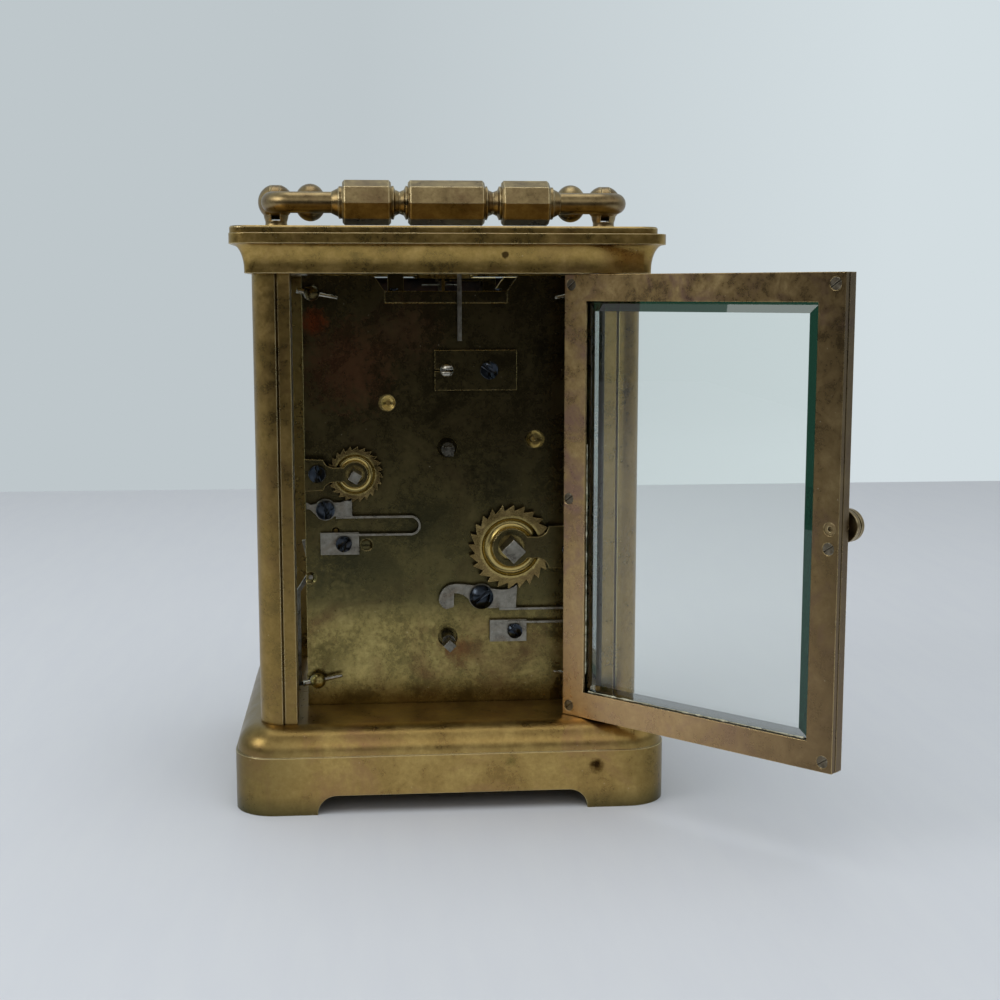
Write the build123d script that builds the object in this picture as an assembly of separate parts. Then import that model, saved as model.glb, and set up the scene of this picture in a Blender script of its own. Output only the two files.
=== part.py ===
from build123d import *
import math
import os

os.makedirs("parts", exist_ok=True)

# Carriage alarm clock. +Z is up, the dial faces -Y and the door is at +Y.
# The origin is the centre of the footprint, on the surface that the feet stand on.
# Sizes are millimetres. A place on the movement is written (x, z).

# Case
base_width = 95.0
base_depth = 83.0
base_corner_radius = 9.0
plinth_height = 12.8
base_height = 18.7
base_wall = 3.4
floor_thickness = 3.2
moulding_step = 0.4
moulding_radius = 5.5
arch_height = 4.2
foot_length_x = 18.0
foot_length_y = 18.0
post_inset = 5.5
post_outer_radius = 5.1
post_width = 8.2
post_strip_width = 2.6
post_strip_step = 0.25
opening_height = 97.6
cornice_lower_height = 0.7
cove_height = 5.4
cove_reach = 2.7
fascia_step = 0.4
fascia_height = 2.2
cornice_lip = 1.20
cornice_wall = 14.2
cornice_corner_radius = 2.0
top_frame_thickness = 1.5
top_frame_inset = 1.0
top_frame_shift = 0.8
top_window_width = 58.0
top_window_depth = 46.0
top_window_rebate = 2.2
window_chamfer = 0.7

# Glasses
glass_thickness = 2.2
bevel_width = 3.6
bevel_depth = 0.9
glass_seat = 1.2
glass_play = 0.1
side_glass_inset = 2.0

# Door
door_play = 0.15
door_rail = 5.7
door_hinge_stile = 5.7
door_free_stile = 5.8
door_frame_thickness = 2.3
door_retainer_thickness = 1.4
door_retainer_inset = 0.1
door_glass_lap = 1.6
door_glass_sink = 0.8
hinge_edge_radius = 1.7
hinge_pin_offset = 4.3
hinge_pin_radius = 0.8
hinge_pin_depth = 2.6
door_open_degrees = 134.0
knob_radius = 3.3
knob_thickness = 2.6
knob_neck_length = 1.4
knob_neck_radius = 1.3
knob_edge_distance = 2.0
knob_height = 67.2

# Handle
handle_post_distance = 76.6
handle_pivot_height = 6.9
handle_arm_length = 22.0
handle_rod_radius = 2.3
handle_bend_radius = 5.0
handle_drop_degrees = 3.2
post_ball_radius = 4.1
post_foot_radius = 3.8
post_neck_radius = 2.5
post_slot_width = 2.0
tongue_play = 0.1
post_shank_radius = 1.2
post_shank_length = 3.6
pivot_pin_radius = 0.7
pivot_ball_radius = 4.3
pivot_ball_half_length = 3.7
pivot_ball_gap = 0.1
grip_radius = 4.5
grip_side_length = 10.6
grip_middle_length = 16.8
grip_neck_length = 3.7
grip_neck_radius = 3.2
grip_collar_length = 1.5
grip_collar_radius = 3.5

# Movement
plate_width = 64.0
plate_thickness = 2.0
back_plate_face = 20.0
plate_spacing = 34.0
plate_top_play = 0.2
pillar_radius = 2.6
pillar_tenon_radius = 1.4
pillar_ball_radius = 1.8
pillar_x = plate_width / 2 - 2.3
pillar_low = 24.9
pillar_high = 112.2
running_play = 0.04
taper_pin_length = 9.0
taper_pin_radius = 0.45

# Places of the arbors, (x, z)
centre_place = (0.0, 77.7)
going_place = (-14.4, 55.0)
alarm_place = (20.7, 72.0)
intermediate_place = (-19.6, 79.4)
third_place = (13.1, 87.8)
contrate_place = (0.0, 95.1)
alarm_escape_place = (25.2, 58.9)
hammer_place = (31.0, 48.3)
alarm_setting_place = (0.0, 34.0)

# Going train
great_teeth = 84
intermediate_leaves = 12
intermediate_teeth = 64
centre_leaves = 12
centre_teeth = 80
third_leaves = 10
third_teeth = 75
contrate_leaves = 10
contrate_teeth = 70
contrate_radius = 7.6
crown_rim_height = 0.6
crown_tooth_height = 0.6
escape_leaves = 7
escape_teeth = 15
wheel_thickness = 1.2
great_thickness = 1.8
arbor_radius = 0.9
pivot_radius = 0.5
barrel_radius = 18.0
barrel_height = 20.0
barrel_wall = 1.2
barrel_arbor_radius = 3.0

# Ratchet work on the back plate
ratchet_teeth = 24
ratchet_thickness = 1.6
ratchet_tip_radius = 9.7
ratchet_tooth_depth = 1.4
ratchet_dish_inner = 4.3
ratchet_dish_outer = 6.7
ratchet_dish_depth = 0.8
ratchet_gap = 0.25
going_square = 3.8
going_square_turn = 45.0
alarm_ratchet_tip_radius = 6.3
alarm_ratchet_tooth_depth = 0.9
alarm_dish_inner = 2.9
alarm_dish_outer = 4.5
alarm_square = 2.2
alarm_square_turn = 31.0
square_length = 5.6
cock_thickness = 0.9
click_thickness = 1.3
click_spring_thickness = 0.45
click_spring_depth = 1.3
screw_head_height = 0.9

# Alarm work
alarm_barrel_radius = 10.4
alarm_barrel_height = 17.0
alarm_great_teeth = 60
alarm_leaves = 8
alarm_escape_teeth = 15
alarm_escape_radius = 6.6
hammer_arm_offset = 3.8
hammer_head_radius = 2.5
hammer_head_length = 5.0
hammer_rest_gap = 2.3
hammer_arm_width = 1.0
hammer_arm_depth = 1.2
bell_radius = 24.6
bell_height = 9.0
bell_skirt = 4.6
bell_wall = 0.8
bell_clearance = 3.0

# Motion work and dial
cannon_leaves = 12
minute_teeth = 36
minute_leaves = 10
hour_teeth = 40
motion_distance = 13.6
motion_thickness = 1.0
dial_gap = 8.0
dial_thickness = 1.2
dial_width = 62.0
dial_margin = 0.3
dial_foot_x = dial_width / 2 - 5.0
dial_foot_heights = (46.0, 104.0)
minute_hand_length = 21.0
hour_hand_length = 14.0
alarm_hand_length = 8.0
hand_thickness = 0.4
hand_square = 2.0
hand_square_length = 5.0
setting_square_length = 9.5
setting_shoulder_radius = 1.45
setting_hole_radius = 2.2

# Platform escapement
platform_width = 27.2
platform_thickness = 2.65
platform_notch_top = 33.6
platform_seat = 6.1
escape_y = -9.0
lever_y = -1.6
balance_y = 7.0
escape_radius = 4.4
balance_radius = 6.6
balance_rim = 0.9
index_angle = 11.0
index_drop = 14.9
index_gap = 1.8
jewel_radius = 0.25
platform_screw_radius = 0.55
platform_screw_inset = 2.0

# Places that follow from the sizes above
opening_bottom = base_height
opening_top = base_height + opening_height
post_x = base_width / 2 - post_inset
post_y = base_depth / 2 - post_inset
opening_half = post_x - post_width
cornice_x = post_x + cornice_lip
cornice_y = post_y + cornice_lip
fascia_bottom = opening_top + cornice_lower_height + cove_height
cornice_top = fascia_bottom + fascia_height
case_top = cornice_top + top_frame_thickness
door_outer_y = post_y - 0.1
door_thickness = door_frame_thickness + door_retainer_thickness
door_half = opening_half - door_play
door_bottom = opening_bottom + door_play
door_top = opening_top - door_play
hinge_x = -door_half + hinge_pin_offset
hinge_y = door_outer_y - door_thickness / 2
pivot_z = case_top + handle_pivot_height
front_plate_back = back_plate_face - plate_thickness - plate_spacing
front_plate_face = front_plate_back - plate_thickness
back_plate_front = back_plate_face - plate_thickness
plate_top = opening_top - plate_top_play
dial_back = front_plate_face - dial_gap
platform_bottom = plate_top - platform_seat
platform_top = platform_bottom + platform_thickness
platform_screw_x = platform_width / 2 - platform_screw_inset
going_root_radius = ratchet_tip_radius - ratchet_tooth_depth
alarm_root_radius = alarm_ratchet_tip_radius - alarm_ratchet_tooth_depth
ratchet_back = back_plate_face + ratchet_gap
cock_back = ratchet_back + ratchet_thickness + 0.15


def save(shape, name):
    export_step(shape, f"parts/{name}.step")


def slab(sketch, y, thickness):
    """Plate cut to a sketch drawn in (x, z), from y towards the door."""
    plane = Plane((0, y + thickness, 0), x_dir=(1, 0, 0), z_dir=(0, -1, 0))
    return extrude(plane * sketch, thickness)


def rod(place, radius, y, end):
    """Round rod along Y from y to end, centred on place (x, z)."""
    return slab(Pos(place[0], place[1]) * Circle(radius), y, end - y)


def square_rod(place, side, y, end, turn=45):
    """Square winding end, turned from upright by this angle."""
    sketch = Pos(place[0], place[1]) * Rot(0, 0, turn) * Rectangle(side, side)
    return slab(sketch, y, end - y)


def upright(x, y, radius, z, end):
    return Pos(x, y, z) * extrude(Circle(radius), end - z)


def block(x0, x1, y0, y1, z0, z1):
    centre = ((x0 + x1) / 2, (y0 + y1) / 2, (z0 + z1) / 2)
    return Pos(*centre) * Box(x1 - x0, y1 - y0, z1 - z0)


def rounded_block(width, depth, radius, z, end):
    return Pos(0, 0, z) * extrude(RectangleRounded(width, depth, radius), end - z)


def turned(points):
    """Solid of revolution about Z from a profile of (radius, z) points."""
    profile = Polyline(*[(r, 0, z) for r, z in points], close=True)
    return revolve(make_face(profile), Axis.Z)


def polar(radius, degrees):
    angle = math.radians(degrees)
    return radius * math.cos(angle), radius * math.sin(angle)


def offset_place(place, radius, degrees):
    step = polar(radius, degrees)
    return place[0] + step[0], place[1] + step[1]


def direction(start, end):
    return math.degrees(math.atan2(end[1] - start[1], end[0] - start[0]))


def distance(start, end):
    return math.hypot(end[0] - start[0], end[1] - start[1])


def pitch_radii(start, end, teeth, leaves):
    """Pitch radii of a meshing pair from its centre distance."""
    gap = distance(start, end)
    return gap * teeth / (teeth + leaves), gap * leaves / (teeth + leaves)


def meshed_phase(phase, teeth, heading, other_teeth):
    """Angle of a tooth of the second wheel that leaves a gap for the first one's."""
    pitch = 360 / teeth
    lead = (phase - heading + pitch / 2) % pitch - pitch / 2
    return heading + 180 - lead * teeth / other_teeth + 180 / other_teeth


def gear_sketch(teeth, pitch_radius, phase, place):
    """Pointed clock teeth on a plain rim."""
    module = 2 * pitch_radius / teeth
    tip = pitch_radius + 0.85 * module
    root = pitch_radius - 1.15 * module
    step = 360 / teeth
    points = []
    for i in range(teeth):
        angle = phase + i * step
        points.append(polar(root, angle - 0.3 * step))
        points.append(polar(tip, angle))
        points.append(polar(root, angle + 0.3 * step))
    return Pos(*place) * make_face(Polyline(*points, close=True))


def pinion_sketch(leaves, pitch_radius, phase, place):
    """Narrow leaves with flat ends."""
    module = 2 * pitch_radius / leaves
    tip = pitch_radius + 0.7 * module
    root = pitch_radius - 1.2 * module
    step = 360 / leaves
    points = []
    for i in range(leaves):
        angle = phase + i * step
        points.append(polar(root, angle - 0.17 * step))
        points.append(polar(tip, angle - 0.09 * step))
        points.append(polar(tip, angle + 0.09 * step))
        points.append(polar(root, angle + 0.17 * step))
    return Pos(*place) * make_face(Polyline(*points, close=True))


def crossings(place, outer, inner, arms, width):
    """The openings between the arms of a crossed-out wheel."""
    ring = Circle(outer) - Circle(inner)
    for i in range(arms):
        spoke = Rot(0, 0, i * 360 / arms) * Pos(outer / 2, 0) * Rectangle(outer + 1, width)
        ring = ring - spoke
    return Pos(*place) * ring


def wheel(teeth, pitch_radius, phase, place, y, thickness, hub):
    """Crossed-out brass wheel with four arms."""
    sketch = gear_sketch(teeth, pitch_radius, phase, place)
    rim = pitch_radius * (1 - 2.4 / teeth) - 1.3
    sketch = sketch - crossings(place, rim, hub, 4, 1.3)
    return slab(sketch, y, thickness)


def ratchet_sketch(place, root, tip, phase):
    """Saw teeth with their steep flank towards rising angles."""
    step = 360 / ratchet_teeth
    points = []
    for i in range(ratchet_teeth):
        angle = phase + i * step
        points.append(polar(root, angle))
        points.append(polar(tip, angle + 0.9 * step))
        points.append(polar(root, angle + 0.97 * step))
    return Pos(*place) * make_face(Polyline(*points, close=True))


def screw(place, head, y, length, slot_degrees):
    """Cheese-head screw with its head seated at y and its shank towards the dial."""
    body = rod(place, head, y, y + screw_head_height)
    body += rod(place, head * 0.5, y - length, y)
    slot = Pos(place[0], place[1]) * Rot(0, 0, slot_degrees) * Rectangle(head * 2.2, 0.35)
    return body - slab(slot, y + screw_head_height - 0.4, 0.5)


def bevelled_glass(width, height):
    """Flat pane standing on +Z of its own plane, bevelled all round its outer face."""
    pane = extrude(Rectangle(width, height), glass_thickness)
    outer = pane.faces().sort_by(Axis.Z)[-1]
    return chamfer(outer.edges(), bevel_width, bevel_depth, reference=outer)


# Case


def pane_grooves(z, end):
    """Grooves for the side and front panes, cut in what lies above and below them."""
    side_x = post_x - side_glass_inset - glass_thickness / 2
    thick = glass_thickness + 2 * glass_play
    side_half = post_y - post_width + glass_seat + glass_play
    front_half = opening_half + glass_seat + glass_play
    cut = block(side_x - thick / 2, side_x + thick / 2, -side_half, side_half, z, end)
    cut += block(-side_x - thick / 2, -side_x + thick / 2, -side_half, side_half, z, end)
    front_y = post_y - side_glass_inset - glass_thickness / 2
    return cut + block(-front_half, front_half, -front_y - thick / 2, -front_y + thick / 2, z, end)


def arch(half_span):
    """Low arch with rounded shoulders, drawn on the ground line."""
    sketch = Pos(0, arch_height / 2) * Rectangle(2 * half_span, arch_height)
    top = sketch.vertices().group_by(Axis.Y)[-1]
    return fillet(top, arch_height - 0.05) + Pos(0, -1) * Rectangle(2 * half_span, 2)


post_screw_x = post_x - post_width / 2 + 0.3
post_screw_y = post_y - post_width / 2 + 0.3
post_screw_radius = 1.3
hammer_arm_x = hammer_place[0] + hammer_arm_offset


def base_plinth():
    body = rounded_block(base_width, base_depth, base_corner_radius, 0, plinth_height)
    upper = rounded_block(
        base_width - 2 * moulding_step,
        base_depth - 2 * moulding_step,
        base_corner_radius - moulding_step,
        plinth_height,
        base_height,
    )
    body += fillet(upper.edges().group_by(Axis.Z)[-1], moulding_radius)
    body -= rounded_block(
        base_width - 2 * base_wall,
        base_depth - 2 * base_wall,
        base_corner_radius - base_wall,
        0,
        base_height - floor_thickness,
    )
    span_x = base_width / 2 - foot_length_x
    span_y = base_depth / 2 - foot_length_y
    body -= slab(arch(span_x), -base_depth, 2 * base_depth)
    side = Plane((-base_width, 0, 0), x_dir=(0, 1, 0), z_dir=(1, 0, 0))
    body -= extrude(side * arch(span_y), 2 * base_width)
    body -= pane_grooves(base_height - glass_seat + glass_play, base_height + 1)
    for sx in (-1, 1):
        for sy in (-1, 1):
            x, y = sx * post_screw_x, sy * post_screw_y
            body -= upright(x, y, post_screw_radius + 0.1, 0, base_height + 1)
        body -= upright(sx * pillar_x, 0, post_screw_radius + 0.1, 0, base_height + 1)
    body -= block(hammer_arm_x - 2.6, hammer_arm_x + 1.6, -2.0, 2.0, 0, base_height + 1)
    body -= upright(0, 0, post_screw_radius, 0, base_height + 1)
    pin_hole = hinge_pin_radius + 0.01
    body -= upright(hinge_x, hinge_y, pin_hole, base_height - hinge_pin_depth, base_height + 1)
    return body


def case_screws():
    """Screws from below: four into the posts and two into the movement's lower pillars."""
    group = []
    seat = base_height - floor_thickness
    for sx in (-1, 1):
        for sy in (-1, 1):
            x, y = sx * post_screw_x, sy * post_screw_y
            body = upright(x, y, post_screw_radius * 1.8, seat - 1.4, seat)
            body += upright(x, y, post_screw_radius - 0.05, seat, base_height + 5.9)
            group.append(body - block(x - 3, x + 3, y - 0.25, y + 0.25, seat - 1.5, seat - 0.8))
        x = sx * pillar_x
        body = upright(x, 0, post_screw_radius * 1.8, seat - 1.4, seat)
        body += upright(x, 0, post_screw_radius - 0.05, seat, pillar_low - pillar_radius + 1.9)
        group.append(body - block(x - 0.25, x + 0.25, -3, 3, seat - 1.5, seat - 0.8))
    return Compound(children=group)


def post_section():
    """Section of the corner post for +X +Y, round outside with a quirk beside each strip."""
    width = post_width
    radius = post_outer_radius
    step = post_strip_step
    strip = width - post_strip_width
    outline = Polyline(
        (-width, -width),
        (-step, -width),
        (-step, -strip),
        (-0.7, -strip + 0.35),
        (0, -radius),
    )
    outline += RadiusArc((0, -radius), (-radius, 0), -radius)
    outline += Polyline(
        (-radius, 0),
        (-strip + 0.35, -0.7),
        (-strip, -step),
        (-width, -step),
        (-width, -width),
    )
    return make_face(outline)


def corner_post(sx, sy):
    section = Pos(post_x, post_y) * post_section()
    body = Pos(0, 0, base_height) * extrude(section, opening_height)
    thick = glass_thickness + 2 * glass_play
    side_x = post_x - side_glass_inset - glass_thickness / 2
    groove_end = post_y - post_width + glass_seat + glass_play
    body -= block(side_x - thick / 2, side_x + thick / 2, 0, groove_end, 0, case_top)
    if sy < 0:
        front_y = post_y - side_glass_inset - glass_thickness / 2
        groove_end = opening_half + glass_seat + glass_play
        body -= block(0, groove_end, front_y - thick / 2, front_y + thick / 2, 0, case_top)
    body -= upright(post_screw_x, post_screw_y, post_screw_radius, 0, base_height + 6)
    body -= upright(post_screw_x, post_screw_y, post_screw_radius, opening_top - 6, case_top)
    if sx < 0:
        body = mirror(body, Plane.YZ)
    if sy < 0:
        body = mirror(body, Plane.XZ)
    return body


def cornice():
    """Hollow cornice: core, cove, fascia and a pocket for the top pane."""
    radius = cornice_corner_radius
    low = rounded_block(2 * cornice_x, 2 * cornice_y, radius, opening_top, fascia_bottom)
    reach = cove_reach + fascia_step
    fascia = rounded_block(
        2 * (cornice_x + reach), 2 * (cornice_y + reach), radius + reach, fascia_bottom, cornice_top
    )
    body = low + fascia + cove_ring()
    inner_x = cornice_x - cornice_wall
    inner_y = cornice_y - cornice_wall
    body -= block(-inner_x, inner_x, -inner_y, inner_y, opening_top - 1, case_top)
    pocket_x = top_window_width / 2 + top_window_rebate + glass_play
    pocket_y = top_window_depth / 2 + top_window_rebate + glass_play
    pocket_floor = cornice_top - glass_thickness
    shift = top_frame_shift
    body -= block(shift - pocket_x, shift + pocket_x, -pocket_y, pocket_y, pocket_floor, case_top)
    body -= pane_grooves(opening_top - 1, opening_top + glass_seat - glass_play)
    for sx in (-1, 1):
        for sy in (-1, 1):
            x, y = sx * post_screw_x, sy * post_screw_y
            body -= upright(x, y, post_screw_radius + 0.1, opening_top - 1, case_top)
            body -= upright(x, y, post_screw_radius * 1.8 + 0.1, cornice_top - 2.2, case_top)
    pin_hole = hinge_pin_radius + 0.01
    body -= upright(hinge_x, hinge_y, pin_hole, opening_top - 1, opening_top + hinge_pin_depth)
    for x in (-handle_post_distance / 2, handle_post_distance / 2):
        body -= upright(x, 0, post_shank_radius, cornice_top - post_shank_length, cornice_top)
    return body


def cove_ring():
    """Hollow moulding round the core, swept along its sides and turned at its corners."""
    bottom = opening_top + cornice_lower_height
    radius = cornice_corner_radius
    curve = EllipticalCenterArc((cove_reach, bottom), cove_reach, cove_height, start_angle=90, arc_size=90)
    outline = curve + Polyline(curve @ 0, (-0.5, bottom + cove_height), (-0.5, bottom), curve @ 1)
    face = make_face(outline)
    straight_x = cornice_x - radius
    straight_y = cornice_y - radius
    ring = None
    runs = ((cornice_x, straight_y, 0), (cornice_y, straight_x, 90), (cornice_x, straight_y, 180),
            (cornice_y, straight_x, 270))
    for reach, half, turn in runs:
        plane = Plane((reach, -half, 0), x_dir=(1, 0, 0), z_dir=(0, -1, 0))
        run = Rot(0, 0, turn) * extrude(plane * face, -2 * half)
        ring = run if ring is None else ring + run
    for sx, sy, turn in ((1, 1, 0), (-1, 1, 90), (-1, -1, 180), (1, -1, 270)):
        section = Plane.XZ * (Pos(radius, 0) * face)
        corner = revolve(section, Axis.Z, 90)
        ring = ring + Pos(sx * straight_x, sy * straight_y, 0) * (Rot(0, 0, turn) * corner)
    return ring


def top_frame():
    """Top slab round the bevelled top pane, a little off centre as it was screwed down."""
    reach = cove_reach + fascia_step - top_frame_inset
    body = rounded_block(
        2 * (cornice_x + reach),
        2 * (cornice_y + reach),
        cornice_corner_radius + reach,
        cornice_top,
        case_top,
    )
    body = chamfer(body.edges().group_by(Axis.Z)[-1], 0.3)
    opening = block(
        -top_window_width / 2, top_window_width / 2, -top_window_depth / 2, top_window_depth / 2,
        cornice_top - 1, case_top + 1,
    )
    body -= opening
    top_edges = body.edges().group_by(Axis.Z)[-1]
    inner = top_edges.filter_by(lambda e: abs(e.center().X) < top_window_width / 2 + 1)
    inner = inner.filter_by(lambda e: abs(e.center().Y) < top_window_depth / 2 + 1)
    body = chamfer(inner, window_chamfer)
    body = Pos(top_frame_shift, 0, 0) * body
    for x in (-1, 1):
        place = x * handle_post_distance / 2
        body -= upright(place, 0, post_shank_radius + 0.05, cornice_top - 1, case_top + 1)
    return body


def top_glass():
    pane = bevelled_glass(
        top_window_width + 2 * top_window_rebate, top_window_depth + 2 * top_window_rebate
    )
    return Pos(top_frame_shift, 0, cornice_top - glass_thickness) * pane


def standing_pane(width):
    """Pane of the given width standing in the grooves, bevels towards +X."""
    pane = bevelled_glass(width, opening_height + 2 * (glass_seat - 2 * glass_play))
    plane = Plane((0, 0, (opening_bottom + opening_top) / 2), x_dir=(0, 1, 0), z_dir=(1, 0, 0))
    return plane * pane


def side_glass(side):
    pane = standing_pane(2 * (post_y - post_width + glass_seat))
    pane = Pos(post_x - side_glass_inset - glass_thickness, 0, 0) * pane
    return pane if side > 0 else mirror(pane, Plane.YZ)


def front_glass():
    pane = standing_pane(2 * (opening_half + glass_seat))
    return Rot(0, 0, -90) * (Pos(post_y - side_glass_inset - glass_thickness, 0, 0) * pane)


# Handle


def oval_head():
    """Turned head a little shorter than it is wide, with round ends and a tighter rim."""
    cap = 1.28 * pivot_ball_half_length
    offset = cap - pivot_ball_half_length
    rim = (cap**2 - pivot_ball_radius**2 - offset**2) / (2 * (cap - pivot_ball_radius))
    turn = math.atan2(pivot_ball_radius - rim, offset)
    end, top = pivot_ball_half_length, pivot_ball_radius
    half_x, half_z = cap * math.cos(turn / 2) - offset, cap * math.sin(turn / 2)
    join_x, join_z = cap * math.cos(turn) - offset, cap * math.sin(turn)
    edge = ThreePointArc((-end, 0), (-half_x, half_z), (-join_x, join_z))
    edge += ThreePointArc((-join_x, join_z), (0, top), (join_x, join_z))
    edge += ThreePointArc((join_x, join_z), (half_x, half_z), (end, 0))
    edge += Line((end, 0), (-end, 0))
    return revolve(make_face(edge), Axis.X)


def handle_posts():
    """Two turned posts with slotted ball heads, each with its ball-headed pivot."""
    group = []
    foot = case_top
    for side in (-1, 1):
        profile = [
            (0, cornice_top - post_shank_length + 0.2),
            (post_shank_radius, cornice_top - post_shank_length + 0.2),
            (post_shank_radius, foot),
            (post_foot_radius - 0.15, foot),
            (post_foot_radius, foot + 0.15),
            (post_foot_radius - 0.25, foot + 0.4),
            (post_foot_radius - 0.7, foot + 0.7),
            (post_neck_radius + 0.25, foot + 1.2),
            (post_neck_radius, foot + 1.9),
            (post_neck_radius, foot + 2.5),
            (post_neck_radius + 0.25, foot + 3.3),
            (post_neck_radius + 0.4, foot + 4.1),
            (0, foot + 4.1),
        ]
        body = turned(profile) + Pos(0, 0, pivot_z) * Sphere(post_ball_radius)
        half = post_slot_width / 2
        slot_bottom = pivot_z - post_ball_radius - 0.1
        body -= block(-half, half, -6, 6, slot_bottom, pivot_z + 6)
        pin = Pos(0, 0, pivot_z) * Rot(0, 90, 0) * Cylinder(pivot_pin_radius + 0.02, 6 * post_ball_radius)
        body = Pos(side * handle_post_distance / 2, 0, 0) * (body - pin)
        group.append(body)
        inner = post_ball_radius + pivot_ball_gap + pivot_ball_half_length
        pin_end = post_ball_radius - 0.2
        shank = Pos(0, 0, pivot_z) * Rot(0, 90, 0) * Cylinder(
            pivot_pin_radius, inner + pin_end, align=(Align.CENTER, Align.CENTER, Align.MIN)
        )
        pivot = Pos(0, 0, pivot_z) * oval_head() + shank
        pivot = Pos(handle_post_distance / 2 - inner, 0, 0) * pivot
        group.append(pivot if side > 0 else mirror(pivot, Plane.YZ))
    return Compound(children=group)


def folded(shape):
    """Turn a handle piece drawn level about the pivots until its grip rests low."""
    turn = Rot(-handle_drop_degrees, 0, 0)
    return Pos(0, 0, pivot_z) * (turn * shape)


def handle_bail():
    """Bent rod: grip core, two bends, two arms, and a disc on each that fills its ball head's slot."""
    half = handle_post_distance / 2
    length = handle_arm_length
    bend = handle_bend_radius
    arm_start = post_ball_radius + 0.5
    path = Polyline((-half, arm_start, 0), (-half, length - bend, 0))
    path += RadiusArc((-half, length - bend, 0), (-half + bend, length, 0), bend)
    path += Line((-half + bend, length, 0), (half - bend, length, 0))
    path += RadiusArc((half - bend, length, 0), (half, length - bend, 0), bend)
    path += Line((half, length - bend, 0), (half, arm_start, 0))
    section = Plane((-half, arm_start, 0), z_dir=(0, 1, 0)) * Circle(handle_rod_radius)
    body = sweep(section, path=path)
    for side in (-1, 1):
        x = side * half
        thick = post_slot_width - 2 * tongue_play
        tongue = block(x - thick / 2, x + thick / 2, 0, arm_start + 0.5, -1.9, 1.9)
        eye = Pos(x, 0, 0) * Rot(0, 90, 0) * Cylinder(post_ball_radius - 0.15, thick)
        body += tongue + eye
        body -= Pos(x, 0, 0) * Rot(0, 90, 0) * Cylinder(pivot_pin_radius + running_play, 10)
    return folded(body)


def grip_block(x0, x1):
    """Eight-sided grip block with chamfered ends, threaded on the rod."""
    sketch = RegularPolygon(grip_radius / math.cos(math.pi / 8), 8)
    plane = Plane((x0, handle_arm_length, 0), x_dir=(0, 1, 0), z_dir=(1, 0, 0))
    body = extrude(plane * sketch, x1 - x0)
    ends = body.edges().group_by(Axis.X)
    return chamfer(ends[0] + ends[-1], 0.5)


def grip_turning(x, sign, points):
    """Turned stretch of the grip, its profile given as (step along the rod, radius)."""
    outline = [(0, 0)] + [(r, s) for s, r in points] + [(0, points[-1][0])]
    body = turned(outline)
    return Pos(x, handle_arm_length, 0) * (Rot(0, sign * 90, 0) * body)


def handle_grip():
    """Three faceted blocks, beaded necks between them and a coved collar at each end."""
    middle = grip_middle_length / 2
    neck = grip_neck_length
    side = grip_side_length
    body = grip_block(-middle, middle)
    neck_radius = grip_neck_radius
    beads = [
        (-0.1, neck_radius + 0.3),
        (0.5, neck_radius + 0.5),
        (0.9, neck_radius - 0.4),
        (neck / 2, neck_radius - 0.8),
        (neck - 0.9, neck_radius - 0.4),
        (neck - 0.5, neck_radius + 0.5),
        (neck + 0.1, neck_radius + 0.3),
    ]
    collar_radius = grip_collar_radius
    collar = [
        (-0.1, collar_radius),
        (grip_collar_length * 0.5, collar_radius),
        (grip_collar_length * 0.6, collar_radius - 0.4),
        (grip_collar_length * 1.6, handle_rod_radius + 0.05),
    ]
    for sign in (-1, 1):
        start = sign * (middle + neck)
        end = sign * (middle + neck + side)
        body += grip_block(min(start, end), max(start, end))
        body += grip_turning(sign * middle, sign, beads)
        body += grip_turning(end, sign, collar)
    bore = Pos(0, handle_arm_length, 0) * Rot(0, 90, 0) * Cylinder(handle_rod_radius + 0.01, 90)
    return folded(body - bore)


# Door, drawn closed and then turned open about its pins


def opened(shape):
    return Pos(hinge_x, hinge_y, 0) * (Rot(0, 0, door_open_degrees) * (Pos(-hinge_x, -hinge_y, 0) * shape))


door_sight = (
    -door_half + door_hinge_stile,
    door_half - door_free_stile,
    door_bottom + door_rail,
    door_top - door_rail,
)
door_inner_y = door_outer_y - door_thickness
door_joint_y = door_inner_y + door_retainer_thickness


def door_screw_places():
    low, high = door_bottom + 2.1, door_top - 2.2
    left, right = -door_half + 1.7, door_half - 2.2
    middle = (door_bottom + door_top) / 2
    return (
        (left, low), (left, high), (right, low), (right, high),
        (-door_half + 1.35, middle), (right, knob_height - 3.9),
    )


def door_pin_holes(body):
    low_hole = (door_bottom - 1, door_bottom + hinge_pin_depth)
    high_hole = (door_top - hinge_pin_depth, door_top + 1)
    for z, end in (low_hole, high_hole):
        body -= upright(hinge_x, hinge_y, hinge_pin_radius + running_play, z, end)
    return body


def hinge_edge_trim():
    """What is cut from the outer corner of the hinge edge so that it turns inside the post."""
    radius = hinge_edge_radius
    x, y = -door_half + radius, door_outer_y - radius
    cut = block(x - radius - 1, x, y, y + radius + 1, 0, case_top)
    return cut - upright(x, y, radius, -1, case_top + 1)


def door_frame():
    left, right, low, high = door_sight
    body = block(-door_half, door_half, door_joint_y, door_outer_y, door_bottom, door_top)
    body -= block(left, right, door_joint_y - 1, door_outer_y + 1, low, high)
    lap = door_glass_lap
    seat = door_joint_y - door_glass_sink + glass_thickness
    body -= block(left - lap, right + lap, door_joint_y - 1, seat, low - lap, high + lap)
    body = door_pin_holes(body)
    for place in door_screw_places():
        body -= rod(place, 0.62, door_joint_y - 1, door_joint_y + 1.5)
    body -= rod((door_half - knob_edge_distance, knob_height), knob_neck_radius, 0, post_y + 5)
    return opened(body - hinge_edge_trim())


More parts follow.
